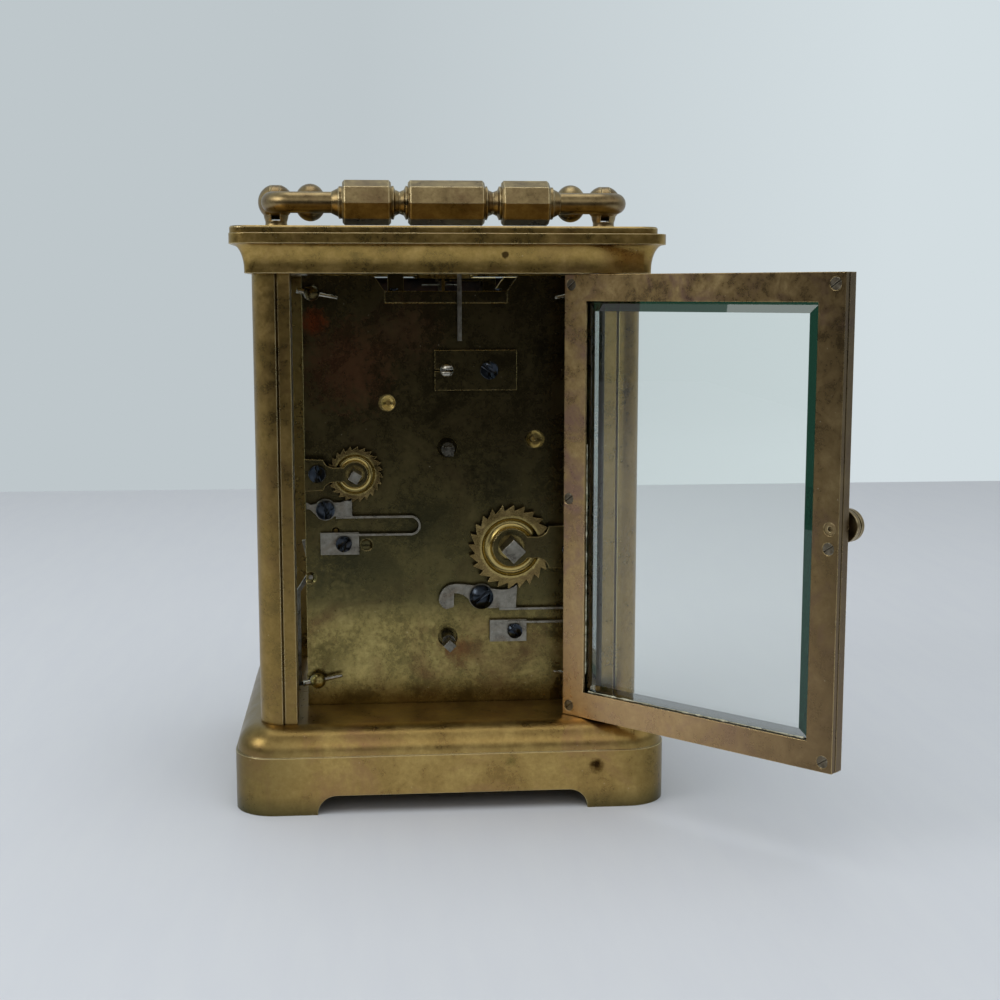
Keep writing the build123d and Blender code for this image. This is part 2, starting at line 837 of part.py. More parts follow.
def door_retainer():
    """Inner plate that holds the pane in the frame, a little short of the free edge."""
    left, right, low, high = door_sight
    body = block(
        -door_half, door_half - door_retainer_inset, door_inner_y, door_joint_y, door_bottom, door_top
    )
    body -= block(left, right, door_inner_y - 1, door_joint_y + 1, low, high)
    lap = door_glass_lap
    seat = door_joint_y - door_glass_sink
    body -= block(left - lap, right + lap, seat, door_joint_y + 1, low - lap, high + lap)
    body = door_pin_holes(body)
    for place in door_screw_places():
        body -= rod(place, 1.25, door_inner_y - 1, door_inner_y + 0.7)
        body -= rod(place, 0.7, door_inner_y, door_joint_y + 1)
    body -= rod((door_half - knob_edge_distance, knob_height), knob_neck_radius, 0, post_y + 5)
    return opened(body - hinge_edge_trim())


def door_glass():
    left, right, low, high = door_sight
    lap = door_glass_lap - 0.1
    pane = bevelled_glass(right - left + 2 * lap, high - low + 2 * lap)
    plane = Plane(
        ((left + right) / 2, door_joint_y - door_glass_sink + glass_thickness, (low + high) / 2),
        x_dir=(1, 0, 0),
        z_dir=(0, -1, 0),
    )
    return opened(plane * pane)


def door_screws():
    group = []
    for place in door_screw_places():
        head = rod(place, 1.2, door_inner_y, door_inner_y + 0.7)
        shank = rod(place, 0.6, door_inner_y + 0.7, door_joint_y + 1.4)
        slot = Pos(*place) * Rot(0, 0, 35) * Rectangle(3, 0.3)
        group.append(opened(head + shank - slab(slot, door_inner_y - 0.1, 0.4)))
    return Compound(children=group)


def door_knob():
    """Turned knob: shank through the stile, thin neck and grooved double disc."""
    place = (door_half - knob_edge_distance, knob_height)
    neck_end = door_outer_y + knob_neck_length
    middle = neck_end + knob_thickness / 2
    body = rod(place, knob_neck_radius - 0.02, door_inner_y + 0.1, neck_end)
    body += rod(place, knob_radius, neck_end, middle - 0.25)
    body += rod(place, knob_radius - 0.5, middle - 0.25, middle + 0.25)
    body += rod(place, knob_radius, middle + 0.25, neck_end + knob_thickness)
    body += rod(place, knob_neck_radius, door_outer_y, door_outer_y + 0.5)
    body -= rod(place, 0.5, door_inner_y, door_inner_y + 0.6)
    return opened(body)


def hinge_pins():
    low = upright(
        hinge_x,
        hinge_y,
        hinge_pin_radius,
        base_height - hinge_pin_depth + 0.2,
        door_bottom + hinge_pin_depth - 0.2,
    )
    high = upright(
        hinge_x,
        hinge_y,
        hinge_pin_radius,
        door_top - hinge_pin_depth + 0.2,
        opening_top + hinge_pin_depth - 0.2,
    )
    return Compound(children=[low, high])


# Movement plates


pillar_places = [(sx * pillar_x, z) for sx in (-1, 1) for z in (pillar_low, pillar_high)]
pillar_ball_y = back_plate_face + pillar_ball_radius + 0.2
contrate_cock_place = (contrate_place[0] - 6.5, contrate_place[1])
contrate_cock_size = (18.4, 9.0)
contrate_screw_place = (contrate_place[0] - 9.5, contrate_place[1])
alarm_screw_place = (alarm_place[0] + 8.4, alarm_place[1] + 0.3)
going_screw_place = (going_place[0] - 13.4, going_place[1] - 0.4)
alarm_click_place = (alarm_place[0] + 6.7, alarm_place[1] - 8.0)
going_click_place = (going_place[0] + 6.8, going_place[1] - 11.4)
alarm_foot_place = (alarm_place[0] + 3.6, alarm_place[1] - 15.8)
going_foot_place = (going_place[0] + 0.6, going_place[1] - 19.5)
alarm_foot_screw = (alarm_foot_place[0] - 0.9, alarm_foot_place[1])
going_foot_screw = (going_foot_place[0] - 1.5, going_foot_place[1])
plate_screws = (
    (contrate_screw_place, 2.0, back_plate_face + 1.2, 40),
    (alarm_screw_place, 1.9, cock_back + cock_thickness, 80),
    (going_screw_place, 1.9, cock_back + cock_thickness, 15),
    (alarm_click_place, 2.1, ratchet_back + click_thickness + 0.1, 80),
    (going_click_place, 2.7, ratchet_back + click_thickness + 0.1, -40),
    (alarm_foot_screw, 1.8, back_plate_face + 1.2, -50),
    (going_foot_screw, 1.7, back_plate_face + 1.2, 60),
)


def platform_notch():
    """Notch for the platform: a wide mouth above a straight-sided seat."""
    seat = platform_bottom
    half = platform_width / 2 + 0.1
    return make_face(
        Polyline(
            (-half, seat),
            (half, seat),
            (half, platform_top),
            (platform_notch_top / 2, plate_top + 1),
            (-platform_notch_top / 2, plate_top + 1),
            (-half, platform_top),
            close=True,
        )
    )


def plate_blank(y):
    middle = (opening_bottom + plate_top) / 2
    sketch = Pos(0, middle) * Rectangle(plate_width, plate_top - opening_bottom)
    sketch -= platform_notch()
    for place in pillar_places:
        sketch -= Pos(*place) * Circle(pillar_tenon_radius + 0.02)
    body = slab(sketch, y, plate_thickness)
    screw_y = y + plate_thickness / 2
    for x in (-platform_screw_x, platform_screw_x):
        body -= upright(x, screw_y, platform_screw_radius, platform_bottom - 2.6, platform_bottom + 1)
    return body


pivot_places = (intermediate_place, third_place, alarm_escape_place, hammer_place)
oil_sink_radii = (1.9, 1.6, 0.9, 1.4)


def hollow(place, radius, depth):
    """Round hollow of this rim radius and depth in the back plate's face."""
    ball = (radius**2 + depth**2) / (2 * depth)
    return Pos(place[0], back_plate_face - depth + ball, place[1]) * Sphere(ball)


def back_plate():
    """Rear plate with its pivot holes and oil sinks, wide holes round the squares and screw holes."""
    body = plate_blank(back_plate_front)
    for place, radius in zip(pivot_places, oil_sink_radii):
        body -= rod(place, pivot_radius + running_play, back_plate_front - 1, back_plate_face + 1)
        body -= hollow(place, radius, 0.6)
    for place in (centre_place, alarm_setting_place):
        body -= rod(place, arbor_radius + running_play, back_plate_front - 1, back_plate_face + 1)
        body -= rod(place, setting_hole_radius, back_plate_face - 1.2, back_plate_face + 1)
    body -= rod(contrate_place, 1.7, back_plate_front - 1, back_plate_face + 1)
    for place in (going_place, alarm_place):
        bore = barrel_arbor_radius if place == going_place else barrel_arbor_radius - 0.8
        body -= rod(place, bore + running_play, back_plate_front - 1, back_plate_face + 1)
    for place, head, seat, slot in plate_screws:
        body -= rod(place, head * 0.5, back_plate_front - 1, back_plate_face + 1)
    going_pin_place = (going_foot_place[0] + 3.0, going_foot_place[1])
    alarm_pin_place = (alarm_foot_place[0] - 6.0, alarm_foot_place[1] - 0.5)
    body -= hollow(going_pin_place, 0.8, 0.5)
    body -= hollow(alarm_pin_place, 1.4, 0.6)
    return body


motion_place = offset_place(centre_place, motion_distance, 180)
idler_place = (0.0, (centre_place[1] + alarm_setting_place[1]) / 2)
minute_pitch = pitch_radii(centre_place, motion_place, minute_teeth, cannon_leaves)
hour_pitch = pitch_radii(centre_place, motion_place, hour_teeth, minute_leaves)
cannon_phase = 0.0
minute_phase = meshed_phase(cannon_phase, cannon_leaves, 180, minute_teeth)
minute_leaf_phase = 0.0
hour_phase = meshed_phase(minute_leaf_phase, minute_leaves, 0, hour_teeth)
idler_phase = meshed_phase(hour_phase, hour_teeth, 270, hour_teeth)
alarm_wheel_phase = meshed_phase(idler_phase, hour_teeth, 270, hour_teeth)
idler_pitch = distance(centre_place, idler_place) / 2
cannon_y = front_plate_face - 2.4
hour_y = front_plate_face - 5.2
hour_bore = 1.5
cannon_bore = arbor_radius + 0.01


def front_plate():
    """Front plate with its pivot holes and the two studs of the motion work."""
    body = plate_blank(front_plate_face)
    for place in pivot_places + (contrate_place,):
        body -= rod(place, pivot_radius + running_play, front_plate_face - 1, front_plate_back + 1)
    for place in (centre_place, alarm_setting_place):
        body -= rod(place, arbor_radius + running_play, front_plate_face - 1, front_plate_back + 1)
    for place in (going_place, alarm_place):
        body -= rod(place, arbor_radius + 0.6 + running_play, front_plate_face - 1, front_plate_back + 1)
    for place in (motion_place, idler_place):
        body += rod(place, 1.0, front_plate_face - 5.6, front_plate_face)
    for place in dial_feet_places:
        body -= rod(place, 0.85, front_plate_face - 1, front_plate_back + 1)
    return body


def pillar_blank(place):
    """Turned pillar about Y: tenon, waisted body, tenon and ball, as one profile."""
    tenon = pillar_tenon_radius
    waist = pillar_radius - 0.6
    ball_start = pillar_ball_y - math.sqrt(pillar_ball_radius**2 - tenon**2)
    points = [
        (0, front_plate_face),
        (tenon, front_plate_face),
        (tenon, front_plate_back),
        (pillar_radius, front_plate_back),
        (pillar_radius, front_plate_back + 9),
        (waist, front_plate_back + 9),
        (waist, back_plate_front - 9),
        (pillar_radius, back_plate_front - 9),
        (pillar_radius, back_plate_front),
        (tenon, back_plate_front),
        (tenon, ball_start),
    ]
    if place[1] == pillar_low:
        points[5:7] = [(waist, front_plate_back + 9), (waist, -2.6), (pillar_radius, -2.6), (pillar_radius, 2.6),
                       (waist, 2.6), (waist, back_plate_front - 9)]
    ball_end = (0, pillar_ball_y + pillar_ball_radius)
    middle = polar(pillar_ball_radius, 10)
    outline = Polyline(*points)
    outline += ThreePointArc(points[-1], (middle[0], pillar_ball_y + middle[1]), ball_end)
    outline += Line(ball_end, points[0])
    return Pos(place[0], 0, place[1]) * revolve(make_face(outline), Axis.Y)


def movement_pillars():
    """Four turned pillars, riveted in front, with a cross-drilled ball behind."""
    group = []
    for place in pillar_places:
        body = pillar_blank(place) - taper_pin(place, 0.03)
        if place[1] == pillar_low:
            body -= upright(place[0], 0, post_screw_radius, 0, pillar_low - pillar_radius + 2.0)
        group.append(body)
    return Compound(children=group)


def taper_pin(place, extra):
    """Tapered pin lying across a pillar's ball, its thick end outwards."""
    side = 1 if place[0] > 0 else -1
    tilt = -11.0 if place[1] > pillar_low else 11.0
    length = taper_pin_length
    body = Cone(taper_pin_radius + 0.2 + extra, taper_pin_radius - 0.1 + extra, length)
    body = Rot(0, -90 * side, 0) * (Pos(0, 0, 1.2) * body)
    return Pos(place[0], pillar_ball_y, place[1]) * (Rot(0, tilt * side, 0) * body)


def movement_screws():
    """Blued screws of the back plate, the four taper pins and the platform's screws."""
    group = []
    for place, head, seat, slot in plate_screws:
        group.append(screw(place, head, seat, seat - back_plate_front, slot))
    group += [taper_pin(place, 0) for place in pillar_places]
    for x in (-platform_screw_x, platform_screw_x):
        for y in (front_plate_face + plate_thickness / 2, back_plate_face - plate_thickness / 2):
            body = upright(x, y, platform_screw_radius * 1.7, platform_top, platform_top + 0.6)
            body += upright(x, y, platform_screw_radius, platform_bottom - 2.5, platform_top)
            slot = block(x - 2, x + 2, y - 0.15, y + 0.15, platform_top + 0.3, platform_top + 1)
            group.append(body - slot)
    group.append(contrate_bearing())
    return Compound(children=group)


def cock_outline(place, head, neck, side, foot_x, foot_half):
    """Cock: round head, waisted arm that flares out in hollow curves, and a wide foot."""
    x, z = place
    waist = x + side * (head + 1.6)
    flare = x + side * (head + 4.2)
    bow = x + side * (head + 3.4)
    step = neck + 0.3 * (foot_half - neck)
    edge = Line((x, z + neck), (waist, z + neck))
    edge += ThreePointArc((waist, z + neck), (bow, z + step), (flare, z + foot_half - 0.2))
    edge += Polyline(
        (flare, z + foot_half - 0.2),
        (foot_x, z + foot_half),
        (foot_x, z - foot_half),
        (flare, z - foot_half + 0.2),
    )
    edge += ThreePointArc((flare, z - foot_half + 0.2), (bow, z - step), (waist, z - neck))
    edge += Polyline((waist, z - neck), (x, z - neck), (x, z + neck))
    return make_face(edge) + Pos(x, z) * Circle(head)


def ratchet_cock(place, head, neck, side, foot_x, foot_half, bore, tip, screw_place):
    """Brass cock over a ratchet, on a foot as high as the ratchet."""
    sketch = cock_outline(place, head, neck, side, foot_x, foot_half)
    body = slab(sketch, cock_back, cock_thickness)
    start = place[0] + side * (tip + 0.5)
    low, high = place[1] - foot_half + 0.4, place[1] + foot_half - 0.4
    foot = block(min(start, foot_x), max(start, foot_x), back_plate_face, cock_back, low, high)
    body += foot
    body -= rod(place, bore, back_plate_face, cock_back + 2)
    return body - rod(screw_place, 0.97, back_plate_face - 1, cock_back + 2)


def alarm_cock():
    foot_x = plate_width / 2 - 0.1
    return ratchet_cock(
        alarm_place, alarm_dish_inner, 1.6, 1, foot_x, 3.6, 2.1, alarm_ratchet_tip_radius, alarm_screw_place
    )


def going_cock():
    foot_x = -plate_width / 2 + 0.1
    return ratchet_cock(
        going_place, ratchet_dish_inner, 2.4, -1, foot_x, 5.0, 3.0, ratchet_tip_radius, going_screw_place
    )


def contrate_cock():
    """Two-screw brass plate with a split clamp round the end-shake screw."""
    sketch = Pos(*contrate_cock_place) * Rectangle(*contrate_cock_size)
    sketch -= Pos(*contrate_place) * Circle(1.5)
    slit_end = contrate_cock_place[0] + contrate_cock_size[0] / 2
    slit_middle = (contrate_place[0] + slit_end) / 2
    slit = Pos(slit_middle, contrate_place[1]) * Rectangle(slit_end - contrate_place[0], 0.4)
    sketch -= slit
    sketch -= Pos(*contrate_screw_place) * Circle(1.02)
    return slab(sketch, back_plate_face, 1.2)


def contrate_bearing():
    """Slotted bearing screw in which the contrate arbor's rear pivot turns."""
    body = rod(contrate_place, 1.48, back_plate_front, back_plate_face + 1.5)
    body -= rod(contrate_place, pivot_radius + running_play, back_plate_front - 1, back_plate_face - 0.4)
    slot = Pos(*contrate_place) * Rectangle(4, 0.35)
    return body - slab(slot, back_plate_face + 1.1, 1)


# Ratchets, clicks and their springs


def dished_ratchet(place, root, tip, inner, outer, square, turn, phase):
    """Ratchet wheel with a hollow turned round its hub and a square bore."""
    body = slab(ratchet_sketch(place, root, tip, phase), ratchet_back, ratchet_thickness)
    groove = Pos(0, 0, ratchet_thickness + 0.25) * Torus((inner + outer) / 2, (outer - inner) / 2)
    plane = Plane((place[0], ratchet_back, place[1]), x_dir=(1, 0, 0), z_dir=(0, 1, 0))
    body -= plane * groove
    end = ratchet_back + ratchet_thickness + 1
    return body - square_rod(place, square + 0.02, ratchet_back - 1, end, turn)


def ratchet_phase(place, nose):
    """Turn the wheel until a steep flank faces the click's nose."""
    heading = direction(place, nose)
    return heading - 0.97 * 360 / ratchet_teeth - 0.6


def winding_arbor(place, radius, square, turn, flange):
    """Barrel arbor: front pivot, body with its hook, and the square behind the plate."""
    body = rod(place, arbor_radius + 0.6, front_plate_face + 0.2, front_plate_back + 0.3)
    body += rod(place, radius, front_plate_back + 0.3, ratchet_back - 0.05)
    end = cock_back + cock_thickness + square_length
    body += square_rod(place, square, ratchet_back - 0.05, end, turn)
    hook = offset_place(place, flange, 90)
    return body + rod(hook, 0.8, -2, 2)


alarm_nose = (alarm_place[0] + 0.8, alarm_place[1] - alarm_root_radius - 0.1)
going_nose = (going_place[0] - 1.4, going_place[1] - going_root_radius - 0.1)


def alarm_click():
    """Flat pawl: square end with its nose up, round boss and thin tail."""
    x, z = alarm_click_place
    nose_x, nose_z = alarm_nose
    low = z - 1.5
    sketch = make_face(
        Polyline(
            (nose_x, nose_z - 0.25),
            (nose_x + 0.35, nose_z - 0.55),
            (nose_x + 1.4, z + 2.0),
            (nose_x + 2.6, z + 1.6),
            (x - 1.4, z + 1.6),
            (x + 1.6, z + 1.5),
            (x + 3.2, z + 1.1),
            (plate_width / 2 - 0.4, z + 1.6),
            (plate_width / 2 - 0.4, z + 0.3),
            (x + 3.4, z + 0.1),
            (x + 1.6, z - 1.6),
            (x - 1.4, low),
            (nose_x, low),
            close=True,
        )
    )
    sketch += Pos(x, z) * Circle(2.4)
    sketch -= Pos(x, z) * Circle(1.05 + running_play)
    return slab(sketch, ratchet_back, click_thickness)


def going_click():
    """Flat pawl with its nose up at one end and a hooked finger tail at the other."""
    x, z = going_click_place
    nose_x, nose_z = going_nose
    low = z - 2.7
    body = make_face(
        Polyline(
            (nose_x, nose_z - 0.3),
            (nose_x + 0.5, nose_z - 0.75),
            (nose_x + 1.9, z + 1.6),
            (nose_x + 3.6, z + 1.5),
            (x - 1.5, z + 1.9),
            (x, z),
            (x - 1.5, low),
            (nose_x + 0.3, low),
            close=True,
        )
    )
    hook = make_face(
        Spline(
            (x + 1.2, z + 2.5),
            (x + 4.3, z + 2.9),
            (x + 7.9, z + 2.4),
            (x + 9.6, z - 0.4),
            (x + 8.1, z - 2.8),
        )
        + Polyline((x + 8.1, z - 2.8), (x + 6.3, z - 2.3), (x + 6.2, z + 0.9))
        + Spline((x + 6.2, z + 0.9), (x + 4.5, z + 0.6), (x + 2.2, z - 1.6))
        + Line((x + 2.2, z - 1.6), (x + 1.2, z + 2.5))
    )
    sketch = body + hook + Pos(x, z) * Circle(2.9)
    sketch -= Pos(x, z) * Circle(1.35 + running_play)
    return slab(sketch, ratchet_back, click_thickness)


def hairpin_spring(foot, foot_size, start, turn_x, low_z):
    """Foot block and a leaf that runs out, turns back on itself and bears on the click."""
    x, z = foot
    width, height = foot_size
    sign = 1 if turn_x > x else -1
    thick = click_spring_thickness
    radius = (start[1] - low_z) / 2
    path = Line((x, low_z), (turn_x - sign * radius, low_z))
    path += RadiusArc(
        (turn_x - sign * radius, low_z), (turn_x - sign * radius, start[1]), -sign * radius
    )
    path += Line((turn_x - sign * radius, start[1]), start)
    leaf = slab(trace(path, thick), back_plate_face + 0.3, click_spring_depth)
    block_sketch = Pos(x, z) * Rectangle(width, height)
    return slab(block_sketch, back_plate_face, 1.2) + leaf


def alarm_click_spring():
    foot = alarm_foot_place
    top = alarm_click_place[1] - 1.5 - click_spring_thickness / 2 - 0.05
    low = foot[1] + 2.0
    body = hairpin_spring(foot, (8.6, 5.0), (alarm_click_place[0] - 2.4, top), alarm_place[0] - 14.4, low)
    return body - rod(alarm_foot_screw, 0.92, back_plate_face - 1, back_plate_face + 2)


def going_click_spring():
    foot = going_foot_place
    top = going_click_place[1] - 2.7 - click_spring_thickness / 2 - 0.05
    low = foot[1] + 2.0
    body = hairpin_spring(foot, (8.4, 5.0), (going_place[0] + 2.6, top), going_place[0] - 14.6, low)
    return body - rod(going_foot_screw, 0.87, back_plate_face - 1, back_plate_face + 2)


# Going train


great_pitch = pitch_radii(going_place, intermediate_place, great_teeth, intermediate_leaves)
inter_pitch = pitch_radii(intermediate_place, centre_place, intermediate_teeth, centre_leaves)
centre_pitch = pitch_radii(centre_place, third_place, centre_teeth, third_leaves)
third_pitch = pitch_radii(third_place, contrate_place, third_teeth, contrate_leaves)
great_y = front_plate_back + 4.0
drum_y = great_y + great_thickness
inter_y = front_plate_back + 0.9
centre_wheel_y = back_plate_front - 6.0
third_wheel_y = back_plate_front - 3.0
alarm_escape_y = back_plate_front - 7.0


def barrel(place, teeth, pitch_radius, phase, radius, height, bore):
    """Spring barrel: toothed great wheel, hollow drum and its cap."""
    body = slab(gear_sketch(teeth, pitch_radius, phase, place), great_y, great_thickness)
    body += rod(place, radius, drum_y, drum_y + height)
    body -= rod(place, radius - barrel_wall, drum_y, drum_y + height - barrel_wall)
    return body - rod(place, bore + running_play, great_y - 1, drum_y + height + 1)


def going_barrel():
    return barrel(
        going_place, great_teeth, great_pitch[0], direction(going_place, intermediate_place),
        barrel_radius, barrel_height, barrel_arbor_radius,
    )


def alarm_barrel():
    pitch = pitch_radii(alarm_place, alarm_escape_place, alarm_great_teeth, alarm_leaves)
    return barrel(
        alarm_place, alarm_great_teeth, pitch[0], direction(alarm_place, alarm_escape_place),
        alarm_barrel_radius, alarm_barrel_height, barrel_arbor_radius - 0.8,
    )


def arbor(place):
    """Plain arbor between the plates with a pivot at each end."""
    body = rod(place, arbor_radius, front_plate_back + 0.3, back_plate_front - 0.3)
    return body + rod(place, pivot_radius, front_plate_face + 0.2, back_plate_face - 0.6)


def intermediate_wheel():
    place = intermediate_place
    heading = direction(place, centre_place)
    great_heading = direction(going_place, place)
    leaf_phase = meshed_phase(great_heading, great_teeth, great_heading, intermediate_leaves)
    body = arbor(place)
    body += slab(pinion_sketch(intermediate_leaves, great_pitch[1], leaf_phase, place), great_y - 0.6, 3.0)
    return body + wheel(intermediate_teeth, inter_pitch[0], heading, place, inter_y, wheel_thickness, 3.0)


hour_pipe_end = dial_back - dial_thickness - 0.6
hand_gap = 0.5
minute_hand_y = hour_pipe_end - hand_gap - 1.2
minute_heading = 90 - 48
hour_heading = 90 - 304


def setting_end(place, turn):
    """Round shoulder in the plate's wide hole, with the square for the key behind it."""
    end = back_plate_face + setting_square_length
    body = rod(place, setting_shoulder_radius, back_plate_face - 1.0, end - hand_square_length)
    return body + square_rod(place, hand_square, end - hand_square_length, end, turn)


def centre_arbor():
    """Hand arbor from its rear square to the front, with the cannon pinion on it."""
    place = centre_place
    body = rod(place, arbor_radius, minute_hand_y - 0.3, back_plate_face - 1.0)
    body += setting_end(place, 0)
    leaves = pinion_sketch(cannon_leaves, minute_pitch[1], cannon_phase, place)
    body += slab(leaves, cannon_y, 2.2)
    body += rod(place, hour_bore - running_play, minute_hand_y + hand_thickness, cannon_y)
    sketch = hand_sketch(place, minute_hand_length, 2.2, minute_heading)
    return body + slab(sketch, minute_hand_y, hand_thickness)


def centre_wheel():
    """Centre wheel and pinion, friction tight on the hand arbor."""
    place = centre_place
    inter_heading = direction(intermediate_place, place)
    leaf_phase = meshed_phase(inter_heading, intermediate_teeth, inter_heading, centre_leaves)
    body = slab(pinion_sketch(centre_leaves, inter_pitch[1], leaf_phase, place), inter_y - 0.5, 2.4)
    body += rod(place, 1.9, inter_y + 1.9, centre_wheel_y)
    heading = direction(place, third_place)
    body += wheel(centre_teeth, centre_pitch[0], heading, place, centre_wheel_y, wheel_thickness, 3.0)
    return body - rod(place, arbor_radius + running_play, front_plate_back, back_plate_front)


def third_wheel():
    place = third_place
    centre_heading = direction(centre_place, place)
    leaf_phase = meshed_phase(centre_heading, centre_teeth, centre_heading, third_leaves)
    body = arbor(place)
    body += slab(pinion_sketch(third_leaves, centre_pitch[1], leaf_phase, place), centre_wheel_y - 0.5, 2.6)
    heading = direction(place, contrate_place)
    return body + wheel(third_teeth, third_pitch[0], heading, place, third_wheel_y, wheel_thickness, 2.6)


contrate_face_y = escape_y - 1.75


def contrate_wheel():
    """Crown wheel whose teeth stand towards the back, on a long arbor."""
    place = contrate_place
    third_heading = direction(third_place, place)
    leaf_phase = meshed_phase(third_heading, third_teeth, third_heading, contrate_leaves)
    body = rod(place, arbor_radius - 0.1, front_plate_back + 0.3, back_plate_front - 0.3)
    body += rod(place, pivot_radius, front_plate_face + 0.2, back_plate_face - 0.6)
    body += slab(pinion_sketch(contrate_leaves, third_pitch[1], leaf_phase, place), third_wheel_y - 0.5, 2.4)
    rim = Pos(*place) * (Circle(contrate_radius) - Circle(contrate_radius - 0.8))
    body += slab(rim, contrate_face_y, crown_rim_height)
    disc = Pos(*place) * Circle(contrate_radius) - crossings(place, contrate_radius - 0.8, 2.0, 4, 1.1)
    body += slab(disc, contrate_face_y - 0.8, 0.8)
    crown = crown_teeth(place)
    return body + crown


def crown_teeth(place):
    """Every crown tooth as one toothed ring, drawn as a star cut to the rim."""
    half = 0.21 * math.pi * contrate_radius / contrate_teeth
    star = None
    bars = []
    for i in range(contrate_teeth // 2):
        angle = i * 360 / contrate_teeth
        bars.append(Pos(*place) * Rot(0, 0, angle) * Rectangle(2 * contrate_radius + 1, 2 * half))
    star = bars[0].fuse(*bars[1:])
    ring = Pos(*place) * (Circle(contrate_radius) - Circle(contrate_radius - 0.8))
    return slab(ring & star, contrate_face_y + crown_rim_height, crown_tooth_height)


# Platform escapement


def platform():
    """Brass platform across both plates, with its pivot holes."""
    body = block(
        -platform_width / 2,
        platform_width / 2,
        front_plate_face,
        back_plate_face,
        platform_bottom,
        platform_top,
    )
    for x in (-platform_screw_x, platform_screw_x):
        for y in (front_plate_face + plate_thickness / 2, back_plate_face - plate_thickness / 2):
            body -= upright(x, y, platform_screw_radius + 0.05, platform_bottom - 1, platform_top + 1)
    body -= upright(0, escape_y, 1.6, platform_bottom - 1, platform_top + 1)
    body -= upright(0, lever_y, jewel_radius + running_play, platform_top - 1, platform_top + 1)
    body -= upright(0, balance_y, jewel_radius + running_play, platform_top - 1.4, platform_top + 1)
    return body


escape_z = platform_top + 1.3
lever_z = platform_top + 1.3
balance_z = platform_top + 2.9
hairspring_z = balance_z + 1.7
cock_z = hairspring_z + 1.0
index_z = cock_z + 1.2


def platform_cocks():
    """Balance cock, escape and lever cock, and the potence below for the escape arbor."""
    half = platform_width / 2
    foot_x = half - 0.8
    cock = block(foot_x - 3.6, foot_x, balance_y - 2.6, balance_y + 2.6, platform_top, cock_z + 1.2)
    arm = Pos(0, balance_y) * Circle(2.4) + Pos(foot_x / 2, balance_y) * Rectangle(foot_x, 3.4)
    cock += Pos(0, 0, cock_z) * extrude(arm, 1.2)
    cock -= upright(0, balance_y, jewel_radius + running_play, cock_z - 1, cock_z + 3)
    lower = platform_top + 2.4
    bridge = block(-foot_x, -foot_x + 3, escape_y - 2.0, lever_y + 1.0, platform_top, lower + 0.8)
    bar = Pos(-foot_x / 2, escape_y) * Rectangle(foot_x, 2.2) + Pos(0, escape_y) * Circle(1.1)
    bar += Pos(-foot_x / 2, lever_y) * Rectangle(foot_x, 1.8) + Pos(0, lever_y) * Circle(0.9)
    bridge += Pos(0, 0, lower) * extrude(bar, 0.8)
    bridge -= upright(0, escape_y, jewel_radius + running_play, lower - 1, lower + 2)
    bridge -= upright(0, lever_y, jewel_radius + running_play, lower - 1, lower + 2)
    bottom = contrate_place[1] + contrate_radius - 4.0
    potence = block(-4.4, -2.6, escape_y + 0.2, escape_y + 2.6, bottom - 1.0, platform_bottom)
    potence += block(-4.4, 1.2, escape_y - 0.4, escape_y + 2.6, bottom - 1.0, bottom)
    potence -= upright(0, escape_y, jewel_radius + running_play, bottom - 2, bottom + 1)
    return Compound(children=[cock, bridge, potence])


def escape_wheel():
    """Steel escape wheel with club teeth, its pinion reaching down to the crown wheel."""
    bottom = contrate_place[1] + contrate_radius - 4.0
    lower = platform_top + 2.4
    body = upright(0, escape_y, 0.45, bottom + 0.1, lower - 0.15)
    body += upright(0, escape_y, jewel_radius, bottom - 0.6, lower + 0.6)
    step = 360 / escape_leaves
    points = []
    for i in range(escape_leaves):
        angle = 90 + (i + 0.5) * step
        points.append(polar(0.45, angle - 0.22 * step))
        points.append(polar(0.95, angle - 0.1 * step))
        points.append(polar(0.95, angle + 0.1 * step))
        points.append(polar(0.45, angle + 0.22 * step))
    leaves = make_face(Polyline(*points, close=True))
    body += Pos(0, escape_y, bottom + 1.0) * extrude(leaves, platform_bottom - bottom - 2.0)
    points = []
    step = 360 / escape_teeth
    for i in range(escape_teeth):
        angle = i * step
        points.append(polar(escape_radius - 1.3, angle))
        points.append(polar(escape_radius, angle + 0.35 * step))
        points.append(polar(escape_radius, angle + 0.52 * step))
        points.append(polar(escape_radius - 1.3, angle + 0.4 * step))
    disc = make_face(Polyline(*points, close=True))
    disc -= crossings((0, 0), escape_radius - 1.9, 0.9, 4, 0.5)
    return body + Pos(0, escape_y, escape_z) * extrude(disc, 0.3)


def pallet_lever():
    """Lever with two pallet arms beside the escape wheel and a fork at the balance."""
    reach = escape_radius + 0.1
    start = lever_y - escape_y
    arms = Circle(0.7)
    for side in (-1, 1):
        tip = polar(reach + 0.65, 90 - side * 30)
        tip = (tip[0], tip[1] - start)
        length = math.hypot(*tip)
        heading = math.degrees(math.atan2(tip[1], tip[0]))
        arms += Rot(0, 0, heading) * Pos(length / 2, 0) * Rectangle(length, 0.6)
    fork = balance_y - lever_y - 0.9
    arms += Pos(0, fork / 2) * Rectangle(0.7, fork)
    arms += Pos(0, fork - 0.4) * (Rectangle(1.8, 0.8) - Pos(0, 0.2) * Rectangle(0.6, 0.5))
    body = Pos(0, lever_y, lever_z) * extrude(arms, 0.35)
    body += upright(0, lever_y, jewel_radius, platform_top - 0.7, platform_top + 2.4 + 0.6)
    return body


